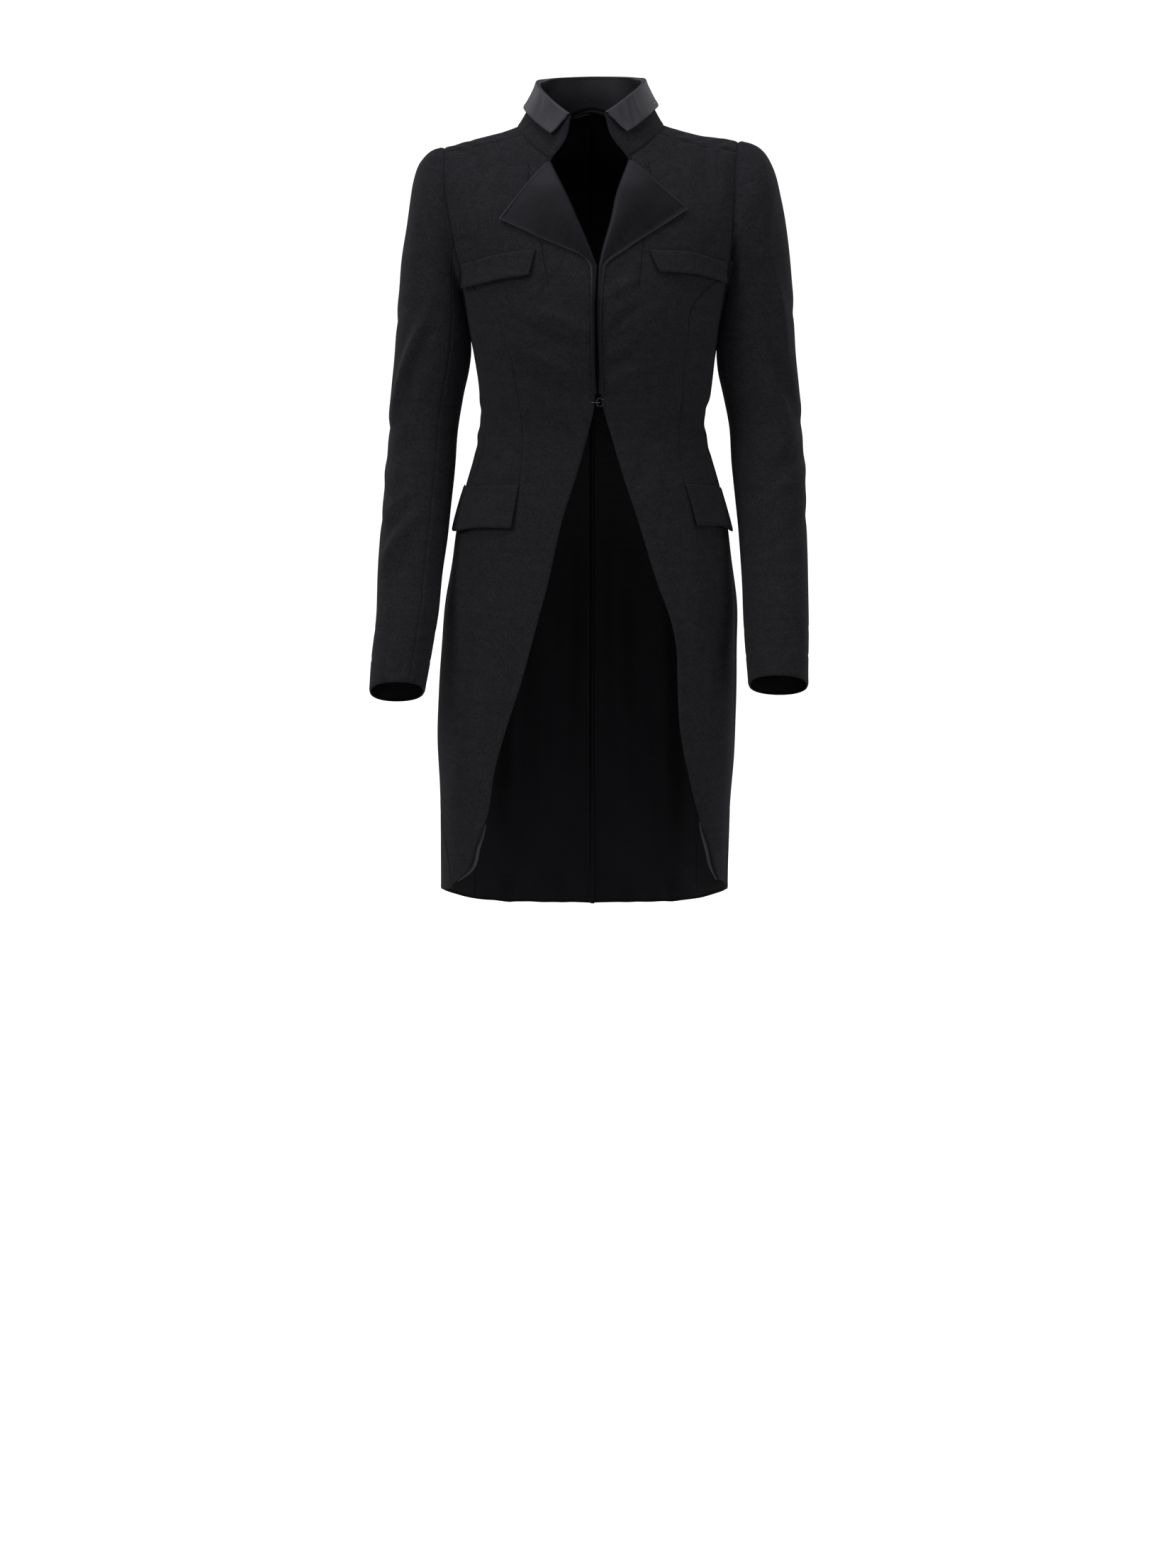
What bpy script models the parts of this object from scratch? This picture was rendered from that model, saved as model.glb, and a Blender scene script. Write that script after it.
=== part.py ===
"""Black wool tuxedo coat with cutaway fronts and long tails, hollow and open as it is worn.

Units are metres. X runs to the viewer's right, the front faces -Y and Z is up. The origin is the
centre of the neck base. "left" and "right" are the viewer's.

The cloth lies on one smooth body form. A place on it is given by two numbers:
turn, in degrees round the body, is 0 at the centre front, 90 at the side and 180 at the centre back;
drop is the distance down the cloth from the ridge of the shoulder, and below zero it has passed
over the ridge to the other side. Each panel is a grid of such places between its own seam lines.
"""
import bpy
import bmesh
import numpy as np

LEFT, RIGHT = -1, 1
NEAR_COLUMNS, FAR_COLUMNS = 7, 5    # columns of the front's grid, before and past the front seam

WOOL_WALL = 0.0020        # thickness of the wool with its canvas
SATIN_WALL = 0.0011       # thickness of the satin
SEAM_GAP = 0.0003         # clear gap between two pieces that are sewn together
HALF_GAP = SEAM_GAP / 2
LAY_GAP = 0.0009          # gap under a piece that lies on a panel
FLAP_GAP = 0.0006         # gap under a pocket flap at its seam
LAPEL_GAP = 0.0011        # gap under the lapel
WIRE_GAP = 0.0004         # gap under the hook and the eye
WIRE_INSET = 0.0006       # past the cloth's edge they keep the depth that they have here
SEAM_TURN = 0.09          # half a seam's gap as a turn, on the sides
CENTRE_TURN = 0.02        # the same at the centre back, where a turn is wider
EDGE_ROOM = 0.0026        # the wool stops this far inside the satin that is folded round it
ROUNDNESS = 2.3           # exponent of the body's rounded sections
SHOULDER_DEPTH = 0.09     # how far down the rounding of the shoulder reaches
QUARTER_DROP = SHOULDER_DEPTH * np.pi / 2
BACK_SEAM_TURN = 130.0    # seam between the side back and the back
ARMPIT_Z = -0.190
NOTCH_Z = -0.158          # where the front seam meets the armhole
POCKET_Z = -0.404         # seam under the hip flap
HOOK_Z = -0.302           # the fronts are held together here
WAIST_Z = -0.34
BREAK_Z = -0.144          # the lapel ends here
BACK_NOTCH_Z = -0.156     # where the back seam meets the armhole


def table(names, *rows):
    """A small table as a dictionary of columns."""
    return dict(zip(names.split(), np.array(rows, float).T))


def smooth(xs, ys, x):
    """Smooth curve through the points (xs, ys), held flat past both ends."""
    order = np.argsort(xs)
    xs, ys = np.asarray(xs)[order], np.asarray(ys)[order]
    x = np.clip(x, xs[0], xs[-1])
    i = np.clip(np.searchsorted(xs, x, side="right") - 1, 0, len(xs) - 2)
    width = xs[i + 1] - xs[i]
    t = (x - xs[i]) / width
    slope = np.gradient(ys, xs)
    low, high = slope[i] * width, slope[i + 1] * width
    return ((2 * t**3 - 3 * t**2 + 1) * ys[i] + (t**3 - 2 * t**2 + t) * low
            + (3 * t**2 - 2 * t**3) * ys[i + 1] + (t**3 - t**2) * high)


def read(tab, key, column, x):
    return smooth(tab[key], tab[column], x)


# Sections of the body form by height: half width on each side, depth in front and behind
BODY = table("z left right front back",
             (0.06, 0.190, 0.190, 0.062, 0.094),
             (0.00, 0.190, 0.190, 0.068, 0.096),
             (-0.03, 0.190, 0.190, 0.076, 0.098),
             (-0.06, 0.188, 0.188, 0.090, 0.100),
             (-0.10, 0.181, 0.182, 0.108, 0.102),
             (-0.15, 0.163, 0.168, 0.122, 0.102),
             (-0.19, 0.149, 0.156, 0.127, 0.099),
             (-0.225, 0.1405, 0.1475, 0.123, 0.094),
             (-0.26, 0.1360, 0.1440, 0.114, 0.088),
             (-0.30, 0.1312, 0.1405, 0.104, 0.083),
             (-0.34, 0.1305, 0.1330, 0.097, 0.082),
             (-0.375, 0.1370, 0.1405, 0.098, 0.088),
             (-0.41, 0.1465, 0.1505, 0.101, 0.098),
             (-0.45, 0.1565, 0.1590, 0.104, 0.110),
             (-0.50, 0.1640, 0.1660, 0.107, 0.119),
             (-0.55, 0.1720, 0.1718, 0.110, 0.124),
             (-0.60, 0.1770, 0.1718, 0.112, 0.127),
             (-0.70, 0.1830, 0.1715, 0.114, 0.131),
             (-0.80, 0.1802, 0.1660, 0.116, 0.134),
             (-0.96, 0.1790, 0.1620, 0.118, 0.138))

# Height of the shoulder ridge by distance from the centre
RIDGE = table("x left right",
              (0.00, 0.036, 0.037), (0.05, 0.020, 0.021), (0.085, 0.0065, 0.0075), (0.105, -0.0005, 0.0018),
              (0.128, -0.0065, -0.0040), (0.16, -0.0150, -0.0085), (0.19, -0.0235, -0.0165))

# Cutaway front edge by height
EDGE = table("z left right",
             (-0.144, 0.0068, 0.0080), (-0.18, 0.0036, 0.0074), (-0.25, 0.0032, 0.0090),
             (-0.302, 0.0040, 0.0122), (-0.338, -0.0033, 0.0220), (-0.388, -0.0173, 0.0368),
             (-0.437, -0.0329, 0.0533), (-0.512, -0.0502, 0.0765), (-0.562, -0.0635, 0.0939),
             (-0.593, -0.0718, 0.0995), (-0.625, -0.0805, 0.1006), (-0.6875, -0.1002, 0.1043),
             (-0.738, -0.1136, 0.1136), (-0.794, -0.1230, 0.1279), (-0.826, -0.1362, 0.1389),
             (-0.855, -0.1446, 0.1458), (-0.874, -0.1601, 0.1512))

# Roll line of the lapel, from the break up to the neck corner
ROLL = {LEFT: table("r x z", (0, 0.0068, -0.144), (0.25, -0.0033, -0.1185), (0.5, -0.0147, -0.0927),
                    (0.8, -0.0300, -0.0600), (1, -0.0465, -0.0290)),
        RIGHT: table("r x z", (0, 0.0080, -0.144), (0.2, 0.0122, -0.1250), (0.5, 0.0215, -0.0930),
                     (0.8, 0.0300, -0.0580), (1, 0.0424, -0.0275))}

# Neck seam from the front corner round to the centre back, as distance from the centre and drop
NECK = {LEFT: table("n x drop", (0, 0.0465, 0.0980), (0.18, 0.0700, 0.0670), (0.3, 0.0800, 0.0400),
                    (0.42, 0.0860, 0.0160), (0.52, 0.0845, 0.0020), (0.66, 0.0700, 0.0200),
                    (0.82, 0.0400, 0.0440), (1, 0.0, 0.0520)),
        RIGHT: table("n x drop", (0, 0.0424, 0.0980), (0.18, 0.0665, 0.0670), (0.3, 0.0775, 0.0400),
                     (0.42, 0.0840, 0.0160), (0.52, 0.0835, 0.0020), (0.66, 0.0700, 0.0200),
                     (0.82, 0.0400, 0.0440), (1, 0.0, 0.0520))}
NECK_SEAM_AT = 0.3        # the forward shoulder seam meets the neck here
NECK_RIDGE_AT = 0.515     # the neck seam passes over the ridge here

# Armhole from the forward shoulder seam down the front, under the arm and up the back
ARMHOLE = table("a left right z",
                (0.00, 0.1690, 0.1690, -0.022), (0.08, 0.1695, 0.1670, -0.045),
                (0.17, 0.1670, 0.1650, -0.072), (0.26, 0.1620, 0.1625, -0.100),
                (0.35, 0.1560, 0.1610, -0.130), (0.43, 0.1490, 0.1575, NOTCH_Z))
ARMHOLE_UNDER = table("a turn z", (0.43, 66, NOTCH_Z), (0.47, 78, -0.181), (0.50, 90, ARMPIT_Z),
                      (0.54, 106, -0.180), (0.59, 121, BACK_NOTCH_Z))
ARMHOLE_BACK = table("a x z", (0.59, 0.1500, BACK_NOTCH_Z), (0.68, 0.1520, -0.120), (0.78, 0.1570, -0.080),
                     (0.88, 0.1640, -0.042), (0.94, 0.1680, -0.022))
RIDGE_TIP_X = 0.1700

# Front seam by height: distance from the centre
FRONT_SEAM = table("z left right",
                   (NOTCH_Z, 0.1480, 0.1560), (-0.175, 0.1330, 0.1310), (-0.190, 0.1190, 0.1175),
                   (-0.225, 0.1000, 0.1110), (-0.265, 0.0906, 0.1070), (-0.311, 0.0822, 0.1045),
                   (-0.342, 0.0791, 0.1022), (-0.375, 0.0812, 0.1045), (-0.404, 0.0840, 0.1085))

# Side seam by height: turn on each side
SIDE_SEAM = table("z left right",
                  (ARMPIT_Z, 90, 90), (-0.25, 81, 86), (-0.31, 73, 83), (-0.35, 68, 82), (-0.385, 71, 83),
                  (-0.42, 80, 84), (-0.46, 88, 85), (-0.50, 91, 86), (-0.70, 92, 87), (-0.787, 83, 84),
                  (-0.825, 73, 80), (-0.86, 67, 78), (-0.89, 65, 77))

# Heights of the rows of the grids: at the front edge, at the front seam, at the side seam and at the
# back seam. The panels on both sides of a seam share them.
SKIRT_ROWS = table("edge side back",
                   (-0.874, -0.884, -0.928), (-0.855, -0.868, -0.900), (-0.826, -0.840, -0.865),
                   (-0.794, -0.806, -0.820), (-0.738, -0.738, -0.742), (-0.6875, -0.6875, -0.690),
                   (-0.640, -0.640, -0.640), (-0.595, -0.595, -0.595), (-0.550, -0.550, -0.550),
                   (-0.500, -0.500, -0.500), (-0.455, -0.455, -0.455), (-0.425, -0.425, -0.425),
                   (POCKET_Z, POCKET_Z, POCKET_Z))
CHEST_ROWS = table("edge seam side back",
                   (-0.375, -0.375, -0.378, -0.378), (-0.345, -0.345, -0.350, -0.350),
                   (-0.322, -0.322, -0.327, -0.325), (-0.302, -0.302, -0.307, -0.303),
                   (-0.292, -0.287, -0.290, -0.283), (-0.272, -0.268, -0.274, -0.264),
                   (-0.250, -0.248, -0.259, -0.247), (-0.230, -0.229, -0.245, -0.231),
                   (-0.207, -0.211, -0.232, -0.215), (-0.188, -0.195, -0.220, -0.200),
                   (-0.172, -0.182, -0.209, -0.185), (-0.157, -0.170, -0.199, -0.170),
                   (BREAK_Z, NOTCH_Z, ARMPIT_Z, BACK_NOTCH_Z))
ROLL_ROWS = np.array([0.14, 0.28, 0.42, 0.57, 0.72, 0.86, 1.0])
STRIP_ROWS = 9            # the satin strip follows this many rows of the chest, from the hook up

# Hem height round the body
HEM = table("turn z", (50, -0.876), (65, -0.884), (90, -0.897), (110, -0.913), (130, -0.929),
            (150, -0.939), (180, -0.944))

# Large folds of the cloth on the front: a straight run from one end to the other
# side, x and z of both ends, half width, height (below zero is a trough)
BODY_FOLDS = [
    (LEFT, -0.092, -0.254, -0.008, -0.288, 0.013, -0.0022),
    (LEFT, -0.094, -0.236, -0.030, -0.262, 0.014, 0.0016),
    (LEFT, -0.046, -0.170, -0.006, -0.196, 0.014, -0.0020),
    (RIGHT, 0.012, -0.206, 0.055, -0.176, 0.013, -0.0024),
    (RIGHT, 0.012, -0.246, 0.060, -0.206, 0.013, -0.0018),
    (LEFT, -0.118, -0.330, -0.085, -0.366, 0.010, -0.0020),
    (RIGHT, 0.128, -0.330, 0.102, -0.366, 0.010, -0.0020),
]
SLEEVE_FOLDS = [
    (LEFT, -0.236, -0.330, -0.196, -0.222, 0.010, 0.0032),
    (LEFT, -0.247, -0.490, -0.206, -0.438, 0.010, 0.0030),
    (LEFT, -0.252, -0.432, -0.222, -0.424, 0.010, -0.0030),
    (RIGHT, 0.196, -0.155, 0.214, -0.262, 0.011, -0.0028),
    (RIGHT, 0.214, -0.262, 0.246, -0.334, 0.010, -0.0034),
    (RIGHT, 0.190, -0.420, 0.246, -0.372, 0.011, -0.0024),
]


def side_name(side):
    return "left" if side == LEFT else "right"


def ridge_height(side, x):
    return read(RIDGE, "x", side_name(side), np.abs(x))


def fold_height(folds, side, x, z):
    """Height of all folds of one side at the front-view place (x, z)."""
    total = np.zeros(np.broadcast(x, z).shape)
    for fold_side, x0, z0, x1, z1, width, height in folds:
        if fold_side != side:
            continue
        run = np.array([x1 - x0, z1 - z0])
        along = ((x - x0) * run[0] + (z - z0) * run[1]) / (run @ run)
        held = np.clip(along, 0, 1)
        away = np.hypot(x - x0 - held * run[0], z - z0 - held * run[1])
        total = total + height * np.exp(-(away / width) ** 2)
    return total


def signed_power(value, power):
    return np.sign(value) * np.abs(value) ** power


def form_point(side, turn, drop):
    """Place on the body form, without folds."""
    angle = np.radians(turn)
    across = signed_power(np.sin(angle), 2 / ROUNDNESS)
    deep = signed_power(np.cos(angle), 2 / ROUNDNESS)
    size = np.abs(drop)
    round_part = np.minimum(size, QUARTER_DROP) / SHOULDER_DEPTH
    fall = SHOULDER_DEPTH * (1 - np.cos(round_part)) + np.maximum(size - QUARTER_DROP, 0)
    z = -fall
    for _ in range(3):
        x = read(BODY, "z", side_name(side), z) * across
        z = ridge_height(side, x) - fall
    front_or_back = -deep * np.sign(drop) * np.sin(round_part)
    depth = np.where(front_or_back < 0, read(BODY, "z", "front", z), read(BODY, "z", "back", z))
    return np.stack([side * x, front_or_back * depth, z], -1)


def form_normal(side, turn, drop):
    """Outward direction of the body form."""
    step_turn, step_drop = 0.4, 0.0008
    round_the_body = form_point(side, turn + step_turn, drop) - form_point(side, turn - step_turn, drop)
    down = form_point(side, turn, drop + step_drop) - form_point(side, turn, drop - step_drop)
    normal = side * np.cross(down, round_the_body)
    return normal / np.linalg.norm(normal, axis=-1, keepdims=True)


def body_surface(side, turn, drop, lift=0.0):
    """Outer face of the cloth, with its folds, moved out by lift; and the outward direction."""
    turn, drop = np.broadcast_arrays(np.asarray(turn, float), np.asarray(drop, float))
    point = form_point(side, turn, drop)
    normal = form_normal(side, turn, drop)
    folds = np.where(normal[..., 1] < 0, fold_height(BODY_FOLDS, side, point[..., 0], point[..., 2]), 0)
    return point + normal * (folds + lift)[..., None], normal


def place_at(side, x, z, behind=False):
    """Turn and drop of the front-view place (x, z); x is measured outward from the centre."""
    x = np.asarray(x, float)
    fall = np.maximum(ridge_height(side, x) - z, 0)
    round_part = np.arccos(1 - np.minimum(fall, SHOULDER_DEPTH) / SHOULDER_DEPTH)
    drop = np.where(fall < SHOULDER_DEPTH, round_part * SHOULDER_DEPTH, QUARTER_DROP + fall - SHOULDER_DEPTH)
    share = np.clip(x / read(BODY, "z", side_name(side), z), -1, 1)
    turn = np.degrees(np.arcsin(signed_power(share, ROUNDNESS / 2)))
    return (180 - turn if behind else turn), drop


def drop_at(side, turn, z):
    """Drop of the height z on the line of this turn, below the shoulder."""
    x = read(BODY, "z", side_name(side), z) * np.abs(np.sin(np.radians(turn))) ** (2 / ROUNDNESS)
    fall = ridge_height(side, x) - z
    round_part = np.arccos(1 - np.minimum(fall, SHOULDER_DEPTH) / SHOULDER_DEPTH)
    return np.where(fall < SHOULDER_DEPTH, round_part * SHOULDER_DEPTH, QUARTER_DROP + fall - SHOULDER_DEPTH)


def armhole_front(side, a):
    """Armhole places between the forward shoulder seam and the notch."""
    return place_at(side, read(ARMHOLE, "a", side_name(side), a), read(ARMHOLE, "a", "z", a))


def armhole_under(side, a):
    """Armhole places between the two notches, under the arm."""
    notch_turn = armhole_front(side, np.array(ARMHOLE["a"][-1]))[0]
    back_turn = armhole_back(side, np.array(ARMHOLE_BACK["a"][0]))[0]
    turns = ARMHOLE_UNDER["turn"].copy()
    turns[0], turns[-1] = notch_turn, back_turn
    turn = smooth(ARMHOLE_UNDER["a"], turns, a)
    return turn, drop_at(side, turn, read(ARMHOLE_UNDER, "a", "z", a))


def armhole_back(side, a):
    """Armhole places between the back notch and the upper back."""
    return place_at(side, read(ARMHOLE_BACK, "a", "x", a), read(ARMHOLE_BACK, "a", "z", a), behind=True)


def armhole_top(side, share):
    """Armhole places from the upper back over the ridge to the forward shoulder seam."""
    back_turn, back_drop = armhole_back(side, np.array(ARMHOLE_BACK["a"][-1]))
    seam_turn, seam_drop = armhole_front(side, np.array(0.0))
    ridge_turn = 180 - place_at(side, RIDGE_TIP_X, ridge_height(side, RIDGE_TIP_X))[0]
    turn = smooth(np.array([0, 0.5, 1]), np.array([back_turn, ridge_turn, 180 - seam_turn]), share)
    drop = back_drop + (-seam_drop - back_drop) * share
    return turn, drop


def neck_place(side, n, behind):
    """Neck seam place; past the ridge the drop turns to the other side."""
    x, size = read(NECK[side], "n", "x", n), np.abs(read(NECK[side], "n", "drop", n))
    n = np.asarray(n, float)
    turn = np.degrees(np.arcsin(np.minimum(x / BODY[side_name(side)][1], 1) ** (ROUNDNESS / 2)))
    past = n > NECK_RIDGE_AT
    if behind:
        return 180 - turn, np.where(past, size, -size)
    return turn, np.where(past, -size, size)


def between(start, end, share):
    """Places on the straight run between two rows of places."""
    return start[0] + (end[0] - start[0]) * share, start[1] + (end[1] - start[1]) * share


def join(*rows):
    """Rows of places joined one after another."""
    return np.concatenate([row[0] for row in rows]), np.concatenate([row[1] for row in rows])


def nudge(places, turn=0.0, drop=0.0):
    return places[0] + turn, places[1] + drop


def grid(start, end, shares):
    """Grid of places: rows run from the places of start to those of end."""
    return between((start[0][:, None], start[1][:, None]), (end[0][:, None], end[1][:, None]), shares[None, :])


def grid_normals(points):
    down, across = np.gradient(points, axis=0), np.gradient(points, axis=1)
    normal = np.cross(across, down)
    return normal / np.maximum(np.linalg.norm(normal, axis=-1, keepdims=True), 1e-12)


def clear_scene():
    for thing in list(bpy.data.objects):
        bpy.data.objects.remove(thing, do_unlink=True)


def material(name, colour, roughness, metallic=0.0):
    made = bpy.data.materials.new(name)
    made.use_nodes = True
    shader = made.node_tree.nodes["Principled BSDF"]
    shader.inputs["Base Color"].default_value = (*colour, 1)
    shader.inputs["Roughness"].default_value = roughness
    shader.inputs["Metallic"].default_value = metallic
    return made


WOOL = ((0.016, 0.015, 0.018), 0.9)
SATIN = ((0.030, 0.029, 0.034), 0.4)
LIGHT_SATIN = ((0.045, 0.044, 0.050), 0.35)
METAL = ((0.10, 0.10, 0.11), 0.3, 1.0)


def add_object(name, bm, finish):
    bmesh.ops.recalc_face_normals(bm, faces=bm.faces)
    mesh = bpy.data.meshes.new(name)
    bm.to_mesh(mesh)
    bm.free()
    mesh.shade_smooth()
    made = bpy.data.objects.new(name, mesh)
    mesh.materials.append(material(name, *finish))
    bpy.context.collection.objects.link(made)
    return made


def wall(name, outer, inner, finish, kept=None):
    """Closed wall between two grids of points; kept says which cells of the grid are cloth."""
    rows, columns = outer.shape[:2]
    kept = np.ones((rows - 1, columns - 1), bool) if kept is None else kept
    bm = bmesh.new()
    corners = {}

    def corner(row, column, layer):
        key = (row, column, layer)
        if key not in corners:
            corners[key] = bm.verts.new((outer, inner)[layer][row, column])
        return corners[key]

    def is_cloth(row, column):
        return 0 <= row < rows - 1 and 0 <= column < columns - 1 and kept[row, column]

    for row in range(rows - 1):
        for column in range(columns - 1):
            if not kept[row, column]:
                continue
            ring = [(row, column), (row, column + 1), (row + 1, column + 1), (row + 1, column)]
            for layer in (0, 1):
                a, b, c, d = [corner(*place, layer) for place in ring]
                faces = [(a, b, c), (a, c, d)]
                for face in faces:
                    bm.faces.new(face if layer == 0 else face[::-1])
            beside = [(row - 1, column), (row, column + 1), (row + 1, column), (row, column - 1)]
            for index, neighbour in enumerate(beside):
                if not is_cloth(*neighbour):
                    p, q = ring[index], ring[(index + 1) % 4]
                    q_outer, p_outer, p_inner, q_inner = (corner(*q, 0), corner(*p, 0),
                                                          corner(*p, 1), corner(*q, 1))
                    # the cut faces on both sides of a seam are split along the same diagonal
                    if p < q:
                        bm.faces.new((q_outer, p_outer, q_inner))
                        bm.faces.new((p_outer, p_inner, q_inner))
                    else:
                        bm.faces.new((q_outer, p_outer, p_inner))
                        bm.faces.new((q_outer, p_inner, q_inner))
    return add_object(name, bm, finish)


def body_panel(name, side, places, kept=None, finish=WOOL):
    outer, normal = body_surface(side, *places)
    return wall(name, outer, outer - normal * WOOL_WALL, finish, kept)


def edge_places(side, z):
    """Edge of the wool; above the hook it stops short for the satin folded round it."""
    room = EDGE_ROOM * np.clip((z - HOOK_Z) / 0.03, 0, 1)
    return place_at(side, side * read(EDGE, "z", side_name(side), z) + room, z)


def roll_places(side, r):
    line = ROLL[side]
    return place_at(side, side * read(line, "r", "x", r) + EDGE_ROOM, read(line, "r", "z", r))


def side_seam_places(side, z):
    turn = read(SIDE_SEAM, "z", side_name(side), z)
    return turn, drop_at(side, turn, z)


def front_seam_places(side, z):
    return place_at(side, read(FRONT_SEAM, "z", side_name(side), z), z)


def back_seam_places(side, z):
    """Seam between side back and back: level turn up to the waist, then out to the armhole."""
    top_turn = armhole_back(side, np.array(ARMHOLE_BACK["a"][0]))[0]
    rise = np.clip((z - WAIST_Z) / (BACK_NOTCH_Z - WAIST_Z), 0, 1)
    turn = BACK_SEAM_TURN + (top_turn - BACK_SEAM_TURN) * rise ** 2
    return turn, drop_at(side, turn, z)


def hem_drop(side, turn):
    return drop_at(side, turn, read(HEM, "turn", "z", turn))


def front_panel(side):
    """Front: from the cutaway edge to the front seam and, below the pocket, to the side seam."""
    skirt = len(SKIRT_ROWS["edge"])
    neck_rows = np.linspace(0, NECK_SEAM_AT, 6)[1:]
    inner = join(edge_places(side, SKIRT_ROWS["edge"]), edge_places(side, CHEST_ROWS["edge"]),
                 roll_places(side, ROLL_ROWS), neck_place(side, neck_rows, False))
    side_seam = nudge(side_seam_places(side, SKIRT_ROWS["side"]), turn=-SEAM_TURN)
    front_seam = nudge(front_seam_places(side, CHEST_ROWS["seam"]), turn=-SEAM_TURN)
    up = np.linspace(ARMHOLE["a"][-1], 0, len(ROLL_ROWS) + len(neck_rows) + 1)[1:]
    upper = join(front_seam, armhole_front(side, up))
    upper[1][-1] += HALF_GAP
    inner[1][-1] += HALF_GAP

    # below the pocket the columns spread from the front edge to the side seam
    seam_turn = front_seam_places(side, POCKET_Z)[0]
    spread = np.linspace(1, 0, skirt) ** 1.5
    low_turn = 0.7 * side_seam[0] + 0.3 * inner[0][:skirt]
    split_turn = seam_turn + (low_turn - seam_turn) * spread
    split_z = (SKIRT_ROWS["edge"] + SKIRT_ROWS["side"]) / 2
    split = nudge((split_turn, drop_at(side, split_turn, split_z)), turn=-SEAM_TURN)
    middle = join(split, upper)
    near = grid(inner, middle, np.linspace(0, 1, NEAR_COLUMNS + 1))
    outer = join(side_seam, nudge(upper, turn=1.0))
    far = grid(middle, outer, np.linspace(0, 1, FAR_COLUMNS + 1)[1:])
    turn, drop = np.concatenate([near[0], far[0]], 1), np.concatenate([near[1], far[1]], 1)
    drop[skirt - 1, NEAR_COLUMNS:] += HALF_GAP
    kept = np.ones((len(turn) - 1, NEAR_COLUMNS + FAR_COLUMNS), bool)
    kept[skirt - 1:, NEAR_COLUMNS:] = False
    return body_panel("front_" + side_name(side), side, (turn, drop), kept)


def fit_top(places, top, share):
    """Bend the upper rows of a grid so that the last one lies on the places of top."""
    reach = np.clip((np.arange(len(places[0])) / (len(places[0]) - 1) - 1 + share) / share, 0, 1)[:, None]
    fitted = []
    for values, wanted in zip(places, top):
        change = wanted - values[-1]
        change[0], change[-1] = 0, 0
        fitted.append(values + reach * change)
    return fitted


def side_front_panel(side):
    """Side front: between the front seam and the side seam, from the pocket up to the armhole."""
    seam = front_seam_places(side, np.append(POCKET_Z, CHEST_ROWS["seam"]))
    end = side_seam_places(side, np.append(POCKET_Z, CHEST_ROWS["side"]))
    shares = np.linspace(0, 1, 6)
    places = grid(nudge(seam, turn=SEAM_TURN), nudge(end, turn=-SEAM_TURN), shares)
    first, last = ARMHOLE_UNDER["a"][0], ARMHOLE_UNDER["a"][2]
    turn, drop = fit_top(places, armhole_under(side, first + (last - first) * shares), 0.4)
    drop[0] -= HALF_GAP
    return body_panel("side_front_" + side_name(side), side, (turn, drop))


def side_back_panel(side):
    """Side back: between the side seam and the back seam, from the hem up to the armhole."""
    side_z = np.concatenate([SKIRT_ROWS["side"], CHEST_ROWS["side"]])
    back_z = np.concatenate([SKIRT_ROWS["back"], CHEST_ROWS["back"]])
    start = nudge(side_seam_places(side, side_z), turn=SEAM_TURN)
    end = nudge(back_seam_places(side, back_z), turn=-SEAM_TURN)
    shares = np.linspace(0, 1, 8)
    first, last = ARMHOLE_UNDER["a"][2], ARMHOLE_UNDER["a"][-1]
    places = grid(start, end, shares)
    turn, drop = fit_top(places, armhole_under(side, first + (last - first) * shares), 0.25)
    near_hem = np.clip(1 - np.arange(len(turn)) / 5, 0, 1)[:, None]
    hem = hem_drop(side, turn[0]) - drop[0]
    hem[0], hem[-1] = 0, 0
    return body_panel("side_back_" + side_name(side), side, (turn, drop + near_hem * hem))


def back_panel(side):
    """Back: from the centre back seam to the back seam and the armhole, over the shoulder."""
    seam_z = np.concatenate([SKIRT_ROWS["back"], CHEST_ROWS["back"]])
    seam = nudge(back_seam_places(side, seam_z), turn=SEAM_TURN)
    low_centre = drop_at(side, np.array(180.0), seam_z)
    high_centre = np.linspace(low_centre[-1], NECK[side]["drop"][-1], 6)[1:]
    centre_drop = np.concatenate([low_centre, high_centre])
    centre = np.full(len(centre_drop), 180 - CENTRE_TURN), centre_drop
    neck = neck_place(side, np.linspace(1, NECK_SEAM_AT, 9)[1:], True)
    inner = join(centre, neck)
    up = np.linspace(ARMHOLE_BACK["a"][0], ARMHOLE_BACK["a"][-1], 10)[1:]
    over = np.linspace(0, 1, len(inner[0]) - len(seam_z) - len(up) + 1)[1:]
    outer = join(seam, armhole_back(side, up), armhole_top(side, over))
    outer[1][-1] += HALF_GAP
    inner[1][-1] += HALF_GAP
    turn, drop = grid(inner, outer, np.linspace(0, 1, 8))
    near_hem = np.clip(1 - np.arange(len(turn)) / 5, 0, 1)[:, None]
    hem = hem_drop(side, turn[0]) - drop[0]
    hem[-1] = 0
    return body_panel("back_" + side_name(side), side, (turn, drop + near_hem * hem))


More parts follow.
